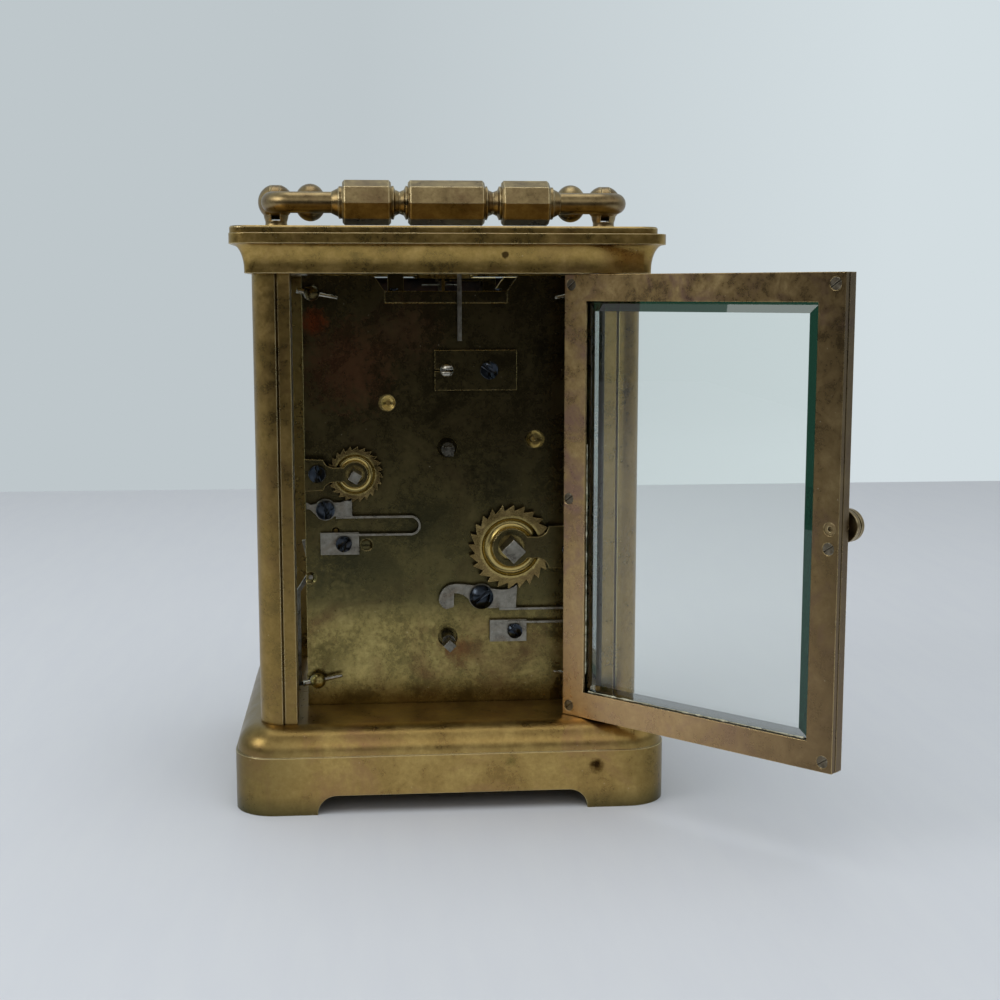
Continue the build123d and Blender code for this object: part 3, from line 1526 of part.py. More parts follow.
def balance_wheel():
    """Balance with a two-arm rim, staff and roller with its pin."""
    rim = Circle(balance_radius) - Circle(balance_radius - balance_rim)
    arms = Rectangle(2 * balance_radius - 1, 0.9) + Circle(1.0)
    body = Pos(0, balance_y, balance_z) * extrude(rim, 0.9)
    body += Pos(0, balance_y, balance_z) * extrude(arms, 0.5)
    body += upright(0, balance_y, 0.4, platform_top + 0.1, cock_z - 0.1)
    body += upright(0, balance_y, jewel_radius, platform_top - 1.2, cock_z + 1.0)
    body += upright(0, balance_y, 0.7, hairspring_z - 0.3, hairspring_z + 0.3)
    for i in range(8):
        x, y = polar(balance_radius + 0.25, i * 45 + 22.5)
        body += Pos(x, balance_y + y, balance_z + 0.45) * Rot(0, 0, i * 45 + 22.5) * Box(0.9, 0.5, 0.5)
    return body


hairspring_turns = 6
hairspring_inner = 0.9
hairspring_outer = 4.6
hairspring_width = 0.12
hairspring_height = 0.3


def hairspring():
    """Flat spiral of steady pitch from the collet to the stud, made of half turns."""
    growth = (hairspring_outer - hairspring_inner) / (2 * hairspring_turns)
    path = None
    x = hairspring_inner
    for i in range(2 * hairspring_turns):
        sign = 1 if i % 2 == 0 else -1
        end = -sign * (hairspring_inner + (i + 1) * growth)
        start = (sign * (hairspring_inner + i * growth), 0)
        radius = abs(end - start[0]) / 2
        middle = ((start[0] + end) / 2, sign * radius)
        arc = ThreePointArc(start, middle, (end, 0))
        path = arc if path is None else path + arc
    gap = 2 * growth - hairspring_width
    print("hairspring gap between turns", round(gap, 3))
    ribbon = trace(path, hairspring_width)
    return Pos(0, balance_y, hairspring_z) * extrude(ribbon, hairspring_height)


def regulator_index():
    """Steel index round the balance cock's jewel, its long tail bent down behind the plate."""
    reach = back_plate_face + index_gap - balance_y
    ring = Circle(1.5) - Circle(0.6)
    tail = Pos(0, reach / 2 + 0.6) * Rectangle(0.9, reach - 1.2)
    curb = Pos(0, -2.4) * Rectangle(0.5, 2.2)
    body = extrude(ring + tail + curb, 0.45)
    pin_end = hairspring_z + hairspring_height + 0.1 - index_z
    body += block(-0.2, 0.2, -3.5, -3.2, pin_end, 0.2)
    drop = index_drop + index_z - plate_top
    body += block(-0.45, 0.45, reach - 0.25, reach + 0.25, 0.45 - drop, 0.45)
    return Pos(0, balance_y, index_z) * (Rot(0, 0, index_angle) * body)


# Alarm train


def alarm_escape_wheel():
    place = alarm_escape_place
    heading = direction(alarm_place, place)
    pitch = pitch_radii(alarm_place, place, alarm_great_teeth, alarm_leaves)
    leaf_phase = meshed_phase(heading, alarm_great_teeth, heading, alarm_leaves)
    body = arbor(place)
    body += slab(pinion_sketch(alarm_leaves, pitch[1], leaf_phase, place), great_y - 0.6, 3.0)
    points = []
    step = 360 / alarm_escape_teeth
    for i in range(alarm_escape_teeth):
        points.append(polar(alarm_escape_radius - 1.3, i * step))
        points.append(polar(alarm_escape_radius, (i + 0.5) * step))
        points.append(polar(alarm_escape_radius - 1.3, (i + 0.7) * step))
    sketch = Pos(*place) * make_face(Polyline(*points, close=True))
    sketch -= crossings(place, alarm_escape_radius - 2.2, 1.8, 4, 1.0)
    return body + slab(sketch, alarm_escape_y, wheel_thickness)


def hammer():
    """Hammer arbor with its pallets, and an arm bent round the pillar down to the head."""
    place = hammer_place
    body = arbor(place)
    toward = direction(place, alarm_escape_place)
    reach = distance(place, alarm_escape_place)
    for side in (-1, 1):
        tip = offset_place(alarm_escape_place, alarm_escape_radius + 1.5, toward + 180 + side * 38)
        length = distance(place, tip)
        heading = direction(place, tip)
        arm = Pos(*place) * Rot(0, 0, heading) * Pos(length / 2, 0) * Rectangle(length, 1.0)
        body += slab(arm, alarm_escape_y, wheel_thickness)
    x, z = place
    head_x = bell_radius + hammer_rest_gap
    head_z = bell_clearance + hammer_head_radius + 0.3
    path = Polyline(
        (x, z),
        (x + 0.8, z - 2.4),
        (hammer_arm_x, z - 7.0),
        (hammer_arm_x, head_z + 6.0),
        (head_x + hammer_head_length - 0.5, head_z),
    )
    body += slab(trace(path, hammer_arm_width), -hammer_arm_depth / 2, hammer_arm_depth)
    turn = Rot(0, 90, 0)
    head = turn * Cylinder(
        hammer_head_radius, hammer_head_length, align=(Align.CENTER, Align.CENTER, Align.MIN)
    )
    return body + Pos(head_x, 0, head_z) * head


bell_top = bell_clearance + bell_height


def bell_assembly():
    """Shallow bell hung under the floor by its post and nut."""
    wall = bell_wall
    skirt = bell_clearance + bell_skirt
    outer = [
        (0, bell_top),
        (bell_radius * 0.45, bell_top - 0.3),
        (bell_radius * 0.78, bell_top - 1.3),
        (bell_radius * 0.93, bell_top - 2.6),
        (bell_radius - 0.4, skirt),
        (bell_radius, bell_clearance),
    ]
    inner = [
        (bell_radius - wall, bell_clearance),
        (bell_radius - 0.4 - wall, skirt - 0.3),
        (bell_radius * 0.91, bell_top - 3.4),
        (bell_radius * 0.77, bell_top - 2.1),
        (bell_radius * 0.45, bell_top - 1.1),
        (0, bell_top - wall),
    ]
    bell = turned(outer + inner) - upright(0, 0, 1.25, 0, base_height)
    seat = base_height - floor_thickness
    post = upright(0, 0, 2.4, bell_top, seat)
    post += upright(0, 0, 1.2, bell_top - 3.0, base_height - 0.3)
    nut_points = extrude(RegularPolygon(2.6, 6), 1.6) - extrude(Circle(1.25), 1.6)
    nut = Pos(0, 0, bell_top - wall - 1.65) * nut_points
    return Compound(children=[bell, post, nut])


# Motion work, dial and hands


dial_feet_places = [(sx * dial_foot_x, z) for sx in (-1, 1) for z in dial_foot_heights]


def dial_plate():
    """Enamel plate with holes for the hands and four feet into the front plate."""
    low, high = opening_bottom + dial_margin, opening_top - dial_margin
    sketch = Pos(0, (low + high) / 2) * Rectangle(dial_width, high - low)
    sketch -= Pos(*centre_place) * Circle(2.9)
    sketch -= Pos(*alarm_setting_place) * Circle(1.5)
    body = slab(sketch, dial_back - dial_thickness, dial_thickness)
    for place in dial_feet_places:
        body += rod(place, 0.8, dial_back, front_plate_back - 0.2)
    return body


def minute_wheel():
    """Motion wheel and pinion on its stud."""
    place = motion_place
    body = wheel(minute_teeth, minute_pitch[0], minute_phase, place, cannon_y + 0.5, motion_thickness, 2.6)
    leaves = pinion_sketch(minute_leaves, hour_pitch[1], minute_leaf_phase, place)
    body += slab(leaves, hour_y - 0.4, cannon_y + 0.5 - hour_y + 0.4)
    return body - rod(place, 1.0 + running_play, hour_y - 2, front_plate_face)


def hour_wheel():
    """Hour wheel with its pipe through the dial and the hour hand on it."""
    place = centre_place
    body = wheel(hour_teeth, hour_pitch[0], hour_phase, place, hour_y, motion_thickness, 3.4)
    body += rod(place, 2.3, hour_pipe_end - hand_gap, hour_y)
    return body - rod(place, hour_bore, hour_pipe_end - 3, front_plate_face)


def hand_sketch(place, length, boss, heading):
    """Spade hand: boss, slim shaft, heart and point."""
    x = length
    blade = Polyline(
        (0, 0.45), (x * 0.62, 0.28), (x * 0.7, 1.5), (x * 0.78, 1.3), (x * 0.86, 0.35), (x, 0),
        (x * 0.86, -0.35), (x * 0.78, -1.3), (x * 0.7, -1.5), (x * 0.62, -0.28), (0, -0.45), close=True,
    )
    return Pos(*place) * (Rot(0, 0, heading) * make_face(blade) + Circle(boss))


def hour_hand():
    sketch = hand_sketch(centre_place, hour_hand_length, 3.1, hour_heading)
    sketch -= Pos(*centre_place) * Circle(2.31)
    return slab(sketch, hour_pipe_end - hand_gap, hand_thickness)


def idler_wheel():
    body = wheel(hour_teeth, idler_pitch, idler_phase, idler_place, hour_y, motion_thickness, 2.6)
    return body - rod(idler_place, 1.0 + running_play, hour_y - 2, front_plate_face)


def alarm_wheel():
    """Alarm wheel turning loose on the setting arbor."""
    place = alarm_setting_place
    body = wheel(hour_teeth, idler_pitch, alarm_wheel_phase, place, hour_y, motion_thickness, 2.6)
    body += rod(place, 1.7, hour_y + motion_thickness, front_plate_face - 0.3)
    return body - rod(place, arbor_radius + running_play, hour_y - 2, front_plate_face)


def alarm_setting():
    """Setting arbor with its rear square, and the alarm hand in front of the dial."""
    place = alarm_setting_place
    end = dial_back - dial_thickness - 1.2
    body = rod(place, arbor_radius, end, back_plate_face - 1.0)
    body += setting_end(place, 45)
    hand = slab(hand_sketch(place, alarm_hand_length, 1.7, 90 + 60), end, hand_thickness)
    return body + hand


save(base_plinth(), "base_plinth")
save(case_screws(), "case_screws")
save(corner_post(1, 1), "post_rear_left")
save(corner_post(-1, 1), "post_rear_right")
save(corner_post(1, -1), "post_front_left")
save(corner_post(-1, -1), "post_front_right")
save(cornice(), "cornice")
save(top_frame(), "top_frame")
save(top_glass(), "top_glass")
save(side_glass(1), "glass_left")
save(side_glass(-1), "glass_right")
save(front_glass(), "glass_front")
save(handle_posts(), "handle_posts")
save(handle_bail(), "handle_bail")
save(handle_grip(), "handle_grip")
save(door_frame(), "door_frame")
save(door_retainer(), "door_retainer")
save(door_glass(), "door_glass")
save(door_screws(), "door_screws")
save(door_knob(), "door_knob")
save(hinge_pins(), "hinge_pins")
save(back_plate(), "back_plate")
save(front_plate(), "front_plate")
save(movement_pillars(), "movement_pillars")
save(movement_screws(), "movement_screws")
save(alarm_cock(), "alarm_cock")
save(going_cock(), "going_cock")
save(contrate_cock(), "contrate_cock")
save(
    dished_ratchet(
        going_place,
        going_root_radius,
        ratchet_tip_radius,
        ratchet_dish_inner,
        ratchet_dish_outer,
        going_square,
        going_square_turn,
        ratchet_phase(going_place, going_nose),
    ),
    "going_ratchet",
)
save(
    dished_ratchet(
        alarm_place,
        alarm_root_radius,
        alarm_ratchet_tip_radius,
        alarm_dish_inner,
        alarm_dish_outer,
        alarm_square,
        alarm_square_turn,
        ratchet_phase(alarm_place, alarm_nose),
    ),
    "alarm_ratchet",
)
save(
    winding_arbor(going_place, barrel_arbor_radius, going_square, going_square_turn, 3.4),
    "going_arbor",
)
save(
    winding_arbor(alarm_place, barrel_arbor_radius - 0.8, alarm_square, alarm_square_turn, 2.6),
    "alarm_arbor",
)
save(going_click(), "going_click")
save(alarm_click(), "alarm_click")
save(going_click_spring(), "going_click_spring")
save(alarm_click_spring(), "alarm_click_spring")
save(going_barrel(), "going_barrel")
save(alarm_barrel(), "alarm_barrel")
save(intermediate_wheel(), "intermediate_wheel")
save(centre_wheel(), "centre_wheel")
save(centre_arbor(), "centre_arbor")
save(third_wheel(), "third_wheel")
save(contrate_wheel(), "contrate_wheel")
save(platform(), "platform")
save(platform_cocks(), "platform_cocks")
save(escape_wheel(), "escape_wheel")
save(pallet_lever(), "pallet_lever")
save(balance_wheel(), "balance_wheel")
save(hairspring(), "hairspring")
save(regulator_index(), "regulator_index")
save(alarm_escape_wheel(), "alarm_escape_wheel")
save(hammer(), "hammer")
save(bell_assembly(), "bell")
save(dial_plate(), "dial_plate")
save(minute_wheel(), "minute_wheel")
save(hour_wheel(), "hour_wheel")
save(hour_hand(), "hour_hand")
save(idler_wheel(), "idler_wheel")
save(alarm_wheel(), "alarm_wheel")
save(alarm_setting(), "alarm_setting")
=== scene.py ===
"""Carriage alarm clock, seen from behind with its rear door open: looks and fine work on the CAD frame."""

import math
import random

import bpy
from mathutils import Matrix, Vector


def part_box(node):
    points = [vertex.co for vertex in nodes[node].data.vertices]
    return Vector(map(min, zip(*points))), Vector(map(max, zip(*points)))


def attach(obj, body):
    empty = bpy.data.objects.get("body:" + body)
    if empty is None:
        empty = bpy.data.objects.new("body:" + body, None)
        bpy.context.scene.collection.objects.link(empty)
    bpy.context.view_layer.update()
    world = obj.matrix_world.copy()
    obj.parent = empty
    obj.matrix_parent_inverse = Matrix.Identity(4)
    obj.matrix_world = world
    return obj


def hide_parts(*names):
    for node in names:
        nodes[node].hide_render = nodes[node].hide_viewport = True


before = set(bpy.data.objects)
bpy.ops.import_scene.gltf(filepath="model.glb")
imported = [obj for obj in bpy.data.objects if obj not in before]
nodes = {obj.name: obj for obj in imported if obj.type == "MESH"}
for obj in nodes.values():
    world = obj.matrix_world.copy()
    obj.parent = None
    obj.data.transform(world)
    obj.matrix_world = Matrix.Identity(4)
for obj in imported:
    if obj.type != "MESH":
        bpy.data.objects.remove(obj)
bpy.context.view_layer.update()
MM = 0.001
dice = random.Random(7)


# Colours and nodes


def linear(code):
    """An sRGB hex colour as the linear values that a node takes."""
    parts = [int(code[i : i + 2], 16) / 255 for i in (1, 3, 5)]
    return tuple([c / 12.92 if c <= 0.04045 else ((c + 0.055) / 1.055) ** 2.4 for c in parts] + [1.0])


def add(tree, kind, links=None, stops=None, **settings):
    """Adds a node: its own settings, then each input as a value or as another node's output."""
    made = tree.nodes.new(kind)
    for name, value in settings.items():
        setattr(made, name, value)
    if stops:
        ramp = made.color_ramp
        while len(ramp.elements) < len(stops):
            ramp.elements.new(0.5)
        for element, (place, colour) in zip(ramp.elements, stops):
            element.position = place
            element.color = colour
    for name, value in (links or {}).items():
        socket = made.inputs[name]
        if isinstance(value, bpy.types.NodeSocket):
            tree.links.new(value, socket)
        else:
            socket.default_value = value
    return made


# A colour mix's own sockets: its factor, its first and second colour, and its result
MIX_FACTOR, MIX_LOW, MIX_HIGH, MIX_OUT = 0, 6, 7, 2


def grey(value):
    return (value, value, value, 1.0)


def per_mm(size):
    """The scale that gives a pattern features of this size in millimetres."""
    return 1000.0 / size


def blank(name):
    """A new material with its node tree emptied, ready for its nodes."""
    material = bpy.data.materials.new(name)
    material.use_nodes = True
    material.node_tree.nodes.clear()
    return material, material.node_tree


def aged_metal(
    name,
    edge_wear_and_highlight,
    light,
    body,
    dark,
    patina,
    cloud=7.0,
    contrast=0.14,
    patina_share=0.5,
    roughness=(0.3, 0.5),
    edge=0.25,
    edge_strength=0.8,
    shade_and_grime=0.4,
    pits=0.25,
    dust=0.35,
    bump=0.08,
    drawn=None,
    fades=(),
    spots=(),
    seed=0.0,
):
    """Handled, unlacquered metal: soft clouds and fine mottling of tarnish, patina, pits and dust; arrises painted
    bright as wear and as highlight, and corners and creases painted dark as shade and grime.

    Each fade is an axis, the millimetres where it starts and is full, a tint and its strength. Each spot is
    its centre and radius in millimetres, how much of it is soft, a tint and its strength.
    """
    material, tree = blank(name)
    place = add(tree, "ShaderNodeTexCoord").outputs["Object"]
    shift = {"Vector": place, "Location": (seed, seed * 0.7, -seed)}
    moved = add(tree, "ShaderNodeMapping", shift).outputs["Vector"]
    values = {"Vector": moved, "Scale": per_mm(cloud), "Detail": 6.0, "Roughness": 0.62, "Distortion": 0.4}
    clouds = add(tree, "ShaderNodeTexNoise", values).outputs["Fac"]
    values = {"Vector": moved, "Scale": per_mm(1.3), "Detail": 6.0, "Roughness": 0.72, "Distortion": 0.3}
    mottle = add(tree, "ShaderNodeTexNoise", values)
    values = {"Vector": moved, "Scale": per_mm(0.4), "Detail": 3.0, "Roughness": 0.7}
    fine = add(tree, "ShaderNodeTexNoise", values).outputs["Fac"]
    values = {"Vector": moved, "Scale": per_mm(cloud * 2.2), "Detail": 7.0, "Roughness": 0.68, "Distortion": 0.8}
    patches = add(tree, "ShaderNodeTexNoise", values).outputs["Fac"]
    share = add(tree, "ShaderNodeMath", {0: mottle.outputs["Fac"], 1: 0.4}, operation="MULTIPLY").outputs[0]
    tone = add(tree, "ShaderNodeMath", {0: clouds, 1: 0.6, 2: share}, operation="MULTIPLY_ADD").outputs[0]
    stops = [(0.5 - contrast, linear(dark)), (0.5, linear(body)), (0.5 + contrast, linear(light))]
    colour = add(tree, "ShaderNodeValToRGB", {"Fac": tone}, stops=stops).outputs["Color"]

    # Each layer of tarnish, dirt, wear or painted light and shade: a value, where it starts and where it is full, its
    # strength and its tint
    layers = [(patches, 0.5, 0.64, patina_share, patina), (fine, 0.56, 0.74, 0.4, dark)]
    axes = add(tree, "ShaderNodeSeparateXYZ", {"Vector": place}).outputs
    for axis, start, full, tint, strength in fades:
        reach = 0.4 * abs(full - start) * MM
        wave = add(tree, "ShaderNodeMath", {0: clouds, 1: reach, 2: axes[axis]}, operation="MULTIPLY_ADD")
        layers.append((wave.outputs[0], start * MM + reach / 2, full * MM + reach / 2, strength, tint))
    for centre, radius, softness, tint, strength in spots:
        stray = 3.0 * radius * softness * MM
        wobble = add(tree, "ShaderNodeVectorMath", {0: mottle.outputs["Color"], 1: (stray,) * 3}, operation="MULTIPLY")
        near = add(tree, "ShaderNodeVectorMath", {0: place, 1: wobble.outputs[0]}, operation="ADD")
        middle = tuple(c * MM + stray / 2 for c in centre)
        far = add(tree, "ShaderNodeVectorMath", {0: near.outputs[0], 1: middle}, operation="DISTANCE")
        solid = radius * (1 - softness) * MM
        layers.append((far.outputs["Value"], radius * MM, solid, strength, tint))
    rounded = add(tree, "ShaderNodeBevel", {"Radius": edge * MM}, samples=4).outputs["Normal"]
    flat = add(tree, "ShaderNodeNewGeometry").outputs["Normal"]
    turned = add(tree, "ShaderNodeVectorMath", {0: rounded, 1: flat}, operation="DOT_PRODUCT").outputs["Value"]
    # Ambient occlusion darkens corners, creases and gaps towards near black: painted shade, with some grime
    air = add(tree, "ShaderNodeAmbientOcclusion", {"Distance": 1.8 * MM}, samples=4).outputs["AO"]
    layers.append((air, 0.7, 0.3, shade_and_grime, "#1a140b"))
    # Arrises, found by the bevel, are lightened towards the edge tint: wear from hands, and a painted highlight
    values = {"Value": turned, "From Min": 0.995, "From Max": 0.9}
    arris = add(tree, "ShaderNodeMapRange", values).outputs["Result"]
    rubbed_and_lit_edge = add(tree, "ShaderNodeMath", {0: arris, 1: air}, operation="MULTIPLY").outputs[0]
    layers.append((rubbed_and_lit_edge, 0.45, 0.8, edge_strength, edge_wear_and_highlight))
    cells = {"Vector": moved, "Scale": per_mm(1.9)}
    hollow = add(tree, "ShaderNodeTexVoronoi", cells, feature="F1").outputs["Distance"]
    pit = add(tree, "ShaderNodeMath", {0: patches, 1: 0.3}, operation="MULTIPLY").outputs[0]
    pit = add(tree, "ShaderNodeMath", {0: pit, 1: hollow}, operation="SUBTRACT").outputs[0]
    layers.append((pit, 0.06, 0.1, pits, "#1c150a"))
    cells = {"Vector": place, "Scale": per_mm(2.3)}
    grains = add(tree, "ShaderNodeTexVoronoi", cells, feature="F1").outputs["Distance"]
    speck = add(tree, "ShaderNodeMath", {0: mottle.outputs["Fac"], 1: 0.25}, operation="MULTIPLY").outputs[0]
    speck = add(tree, "ShaderNodeMath", {0: speck, 1: grains}, operation="SUBTRACT").outputs[0]
    layers.append((speck, 0.085, 0.1, dust, "#e6dcc0"))
    for value, start, full, strength, tint in layers:
        values = {"Value": value, "From Min": start, "From Max": full, "To Max": strength}
        mask = add(tree, "ShaderNodeMapRange", values).outputs["Result"]
        links = {MIX_FACTOR: mask, MIX_LOW: colour, MIX_HIGH: linear(tint)}
        colour = add(tree, "ShaderNodeMix", links, data_type="RGBA").outputs[MIX_OUT]

    values = {"Value": tone, "From Min": 0.35, "From Max": 0.65, "To Min": roughness[0], "To Max": roughness[1]}
    rough = add(tree, "ShaderNodeMapRange", values).outputs["Result"]
    relief = add(tree, "ShaderNodeMath", {0: fine, 1: 0.35, 2: mottle.outputs["Fac"]}, operation="MULTIPLY_ADD")
    height = {"Strength": bump, "Distance": 0.3 * MM, "Height": relief.outputs[0], "Normal": rounded}
    bumped = add(tree, "ShaderNodeBump", height).outputs["Normal"]
    if drawn:
        direction, size = drawn
        lines = add(tree, "ShaderNodeMapping", {"Vector": place, "Scale": direction}).outputs["Vector"]
        grain = add(tree, "ShaderNodeTexNoise", {"Vector": lines, "Scale": per_mm(size), "Detail": 2.0})
        height = {"Strength": bump, "Distance": 0.1 * MM, "Height": grain.outputs["Fac"], "Normal": bumped}
        bumped = add(tree, "ShaderNodeBump", height).outputs["Normal"]
    surface = {"Base Color": colour, "Roughness": rough, "Normal": bumped, "Metallic": 1.0}
    shader = add(tree, "ShaderNodeBsdfPrincipled", surface).outputs[0]
    add(tree, "ShaderNodeOutputMaterial", {"Surface": shader})
    return material


def middle_of(name):
    """The middle of a node's box, in millimetres."""
    low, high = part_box(name)
    return tuple((low[axis] + high[axis]) / 2 / MM for axis in range(3))


# Cast and turned case brass, never lacquered: a dull brown-gold, darker below the cornice, its arrises painted bright
# as wear from hands and as highlight
case_brass = aged_metal(
    "aged_cast_brass",
    "#f6e2ae",
    "#bb9d5f",
    "#a0854a",
    "#7d693b",
    "#8a6c47",
    contrast=0.14,
    pits=0.1,
    edge=0.35,
    edge_strength=0.9,
    roughness=(0.22, 0.4),
    fades=[("Z", 116.0, 112.0, "#6f5c39", 0.4)],
    spots=[((-11.6, 37.7, 120.2), 0.9, 0.35, "#33240f", 0.9)],
)
# The base's brass is the same, a little lighter, painted darker round its ends as the dark reflections in its rounded
# corners, green at its feet, with one casting pit
base_brass = aged_metal(
    "aged_base_brass",
    "#f6e8b4",
    "#cbae6c",
    "#b4975a",
    "#957947",
    "#a58059",
    cloud=9.0,
    contrast=0.15,
    patina_share=0.8,
    pits=0.12,
    edge=0.35,
    roughness=(0.24, 0.42),
    fades=[
        # Darker ends: painted dark reflections of the rounded corners
        ("X", 28.0, 47.0, "#5f5431", 0.75),
        ("X", -34.0, -47.0, "#66582f", 0.65),
        ("Z", 4.5, 0.5, "#4a4a31", 0.7),
    ],
    spots=[
        ((-31.5, 41.5, 9.5), 2.0, 0.5, "#5f4622", 0.9),
        ((-31.3, 41.5, 9.7), 1.1, 0.5, "#2b1c0b", 0.95),
        ((-12.5, 41.5, 11.0), 1.5, 0.8, "#6f6634", 0.6),
    ],
    seed=0.011,
)
# Turned and filed handle brass: grey-brown, its arrises painted bright as wear from hands and as highlight
bail_brass = aged_metal(
    "handled_brass",
    "#f2dfae",
    "#b39f72",
    "#93805a",
    "#6c5b3e",
    "#7b6348",
    cloud=5.0,
    contrast=0.16,
    edge=0.35,
    edge_strength=0.95,
    roughness=(0.24, 0.4),
    seed=0.023,
)
# Milled door brass with a purple-brown bloom on a lighter gold, darker towards its free stile
door_brass = aged_metal(
    "bloomed_sheet_brass",
    "#f0d59a",
    "#cbb07c",
    "#b29565",
    "#8c734f",
    "#957568",
    cloud=6.0,
    patina_share=0.8,
    roughness=(0.22, 0.38),
    fades=[("Z", 62.0, 34.0, "#c9a67e", 0.5), ("X", -42.0, -72.0, "#4c3f2a", 0.8)],
    seed=0.037,
)
# Rolled plate brass, tarnished, with rust and oil stains; painted nearly black at the top and olive gold at its foot
# as reflections of the dark room and the bright table, with painted reflection along its very foot and painted shade
# towards the door side
plate_brass = aged_metal(
    "tarnished_rolled_brass",
    "#e2cb8c",
    "#bba96c",
    "#958652",
    "#5f5534",
    "#6b4c35",
    cloud=9.0,
    contrast=0.11,
    patina_share=0.6,
    roughness=(0.2, 0.36),
    shade_and_grime=0.75,
    pits=0.5,
    fades=[
        # Darker above 37 to 43 mm, and darker again up to 84 mm: painted reflection of the dark room over the bright
        # table's
        ("Z", 37.0, 43.0, "#4a472f", 0.75),
        ("Z", 45.0, 84.0, "#3f3423", 0.6),
        # Darker towards the door side: painted shade
        ("X", 12.0, -30.0, "#1b1a14", 0.3),
        # Darker at its very foot: painted reflection of the dark floor of the case
        ("Z", 25.0, 20.5, "#4a3d20", 0.6),
    ],
    spots=[
        ((29.5, 20.0, 106.0), 3.6, 0.6, "#8a4526", 0.8),
        ((22.0, 20.0, 96.0), 12.0, 0.7, "#7c4f38", 0.5),
        ((9.0, 20.0, 104.0), 9.0, 0.8, "#6b4a36", 0.45),
        ((-12.0, 20.0, 70.0), 8.0, 0.8, "#1c1d18", 0.5),
        ((-25.7, 20.0, 100.0), 7.0, 0.8, "#15130d", 0.6),
        ((6.0, 20.0, 60.0), 9.0, 0.8, "#2a2d22", 0.5),
        ((22.0, 20.0, 52.0), 10.0, 0.8, "#2b2d22", 0.6),
        ((-3.0, 20.0, 31.0), 4.0, 0.8, "#6f3c26", 0.5),
        ((28.0, 20.0, 29.0), 6.0, 0.8, "#4c4424", 0.6),
        # The two oil sinks: bright rims painted as highlights, with darker middles
        ((13.4, 20.0, 87.8), 2.0, 0.1, "#c9b06c", 0.85),
        ((13.4, 20.0, 87.8), 1.35, 0.25, "#7c6834", 0.85),
        ((-20.1, 20.0, 79.4), 2.1, 0.1, "#ab9556", 0.85),
        ((-20.1, 20.0, 79.4), 1.6, 0.25, "#453a20", 0.95),
    ],
    seed=0.047,
)
# Milled wheel brass, cleaner inside the movement
wheel_brass = aged_metal(
    "milled_wheel_brass",
    "#f0d490",
    "#b99e5f",
    "#9c8249",
    "#786233",
    "#79603c",
    cloud=4.0,
    patina_share=0.35,
    edge=0.1,
    roughness=(0.22, 0.4),
    seed=0.059,
)
# The two ratchets: brown brass, each turned dish painted bright as a highlight
ratchet_brass = aged_metal(
    "turned_ratchet_brass",
    "#f6dc98",
    "#a89360",
    "#8b774b",
    "#635432",
    "#6f5a3d",
    cloud=3.0,
    edge=0.12,
    edge_strength=0.6,
    roughness=(0.16, 0.3),
    spots=[
        # Bright dishes: painted highlights
        (middle_of("going_ratchet"), 7.4, 0.06, "#c9b472", 0.8),
        (middle_of("alarm_ratchet"), 5.0, 0.06, "#c9b472", 0.8),
    ],
    seed=0.063,
)
# Cast bell metal, turned and polished
bell_metal = aged_metal(
    "turned_bell_metal", "#d8c48c", "#b59e64", "#9c8650", "#7d6a3a", "#6e5a38", cloud=8.0, seed=0.071
)
# Ground steel gone grey, with grinding lines
steel = aged_metal(
    "ground_steel",
    "#e4e1d6",
    "#a6a398",
    "#8e8a7f",
    "#69645a",
    "#7a6852",
    cloud=2.5,
    patina_share=0.35,
    edge=0.12,
    roughness=(0.24, 0.4),
    drawn=((1.0, 1.0, 0.06), 0.12),
    seed=0.083,
)
# Bright turned steel of pins and of one screw
bright_steel = aged_metal(
    "turned_bright_steel",
    "#e2e0d8",
    "#b9b6ac",
    "#9d9a8f",
    "#726f65",
    "#6a5a44",
    cloud=2.0,
    patina_share=0.3,
    edge=0.1,
    roughness=(0.16, 0.3),
    seed=0.087,
)
# Steel screws and hands tempered blue, now almost black
blued_steel = aged_metal(
    "tempered_blue_steel",
    "#a6acb2",
    "#474e56",
    "#31373f",
    "#1f2429",
    "#3d352c",
    cloud=2.0,
    patina_share=0.45,
    edge=0.12,
    edge_strength=0.8,
    roughness=(0.14, 0.28),
    seed=0.091,
)
# Dull screws of the door, gone brown
browned_steel = aged_metal(
    "browned_steel",
    "#c9c0a8",
    "#8d8574",
    "#6f6758",
    "#4b4436",
    "#5d4a34",
    cloud=1.6,
    edge=0.15,
    shade_and_grime=0.8,
    roughness=(0.24, 0.4),
    seed=0.095,
)
# Steel arbors whose front ends are tempered blue with the hands they carry
hand_steel = aged_metal(
    "blue_ended_steel",
    "#b3b1a8",
    "#85837a",
    "#6b685f",
    "#4a463d",
    "#5a4a38",
    cloud=2.0,
    patina_share=0.3,
    edge=0.1,
    roughness=(0.2, 0.36),
    fades=[("Y", -27.2, -27.9, "#223247", 1.0)],
    seed=0.097,
)


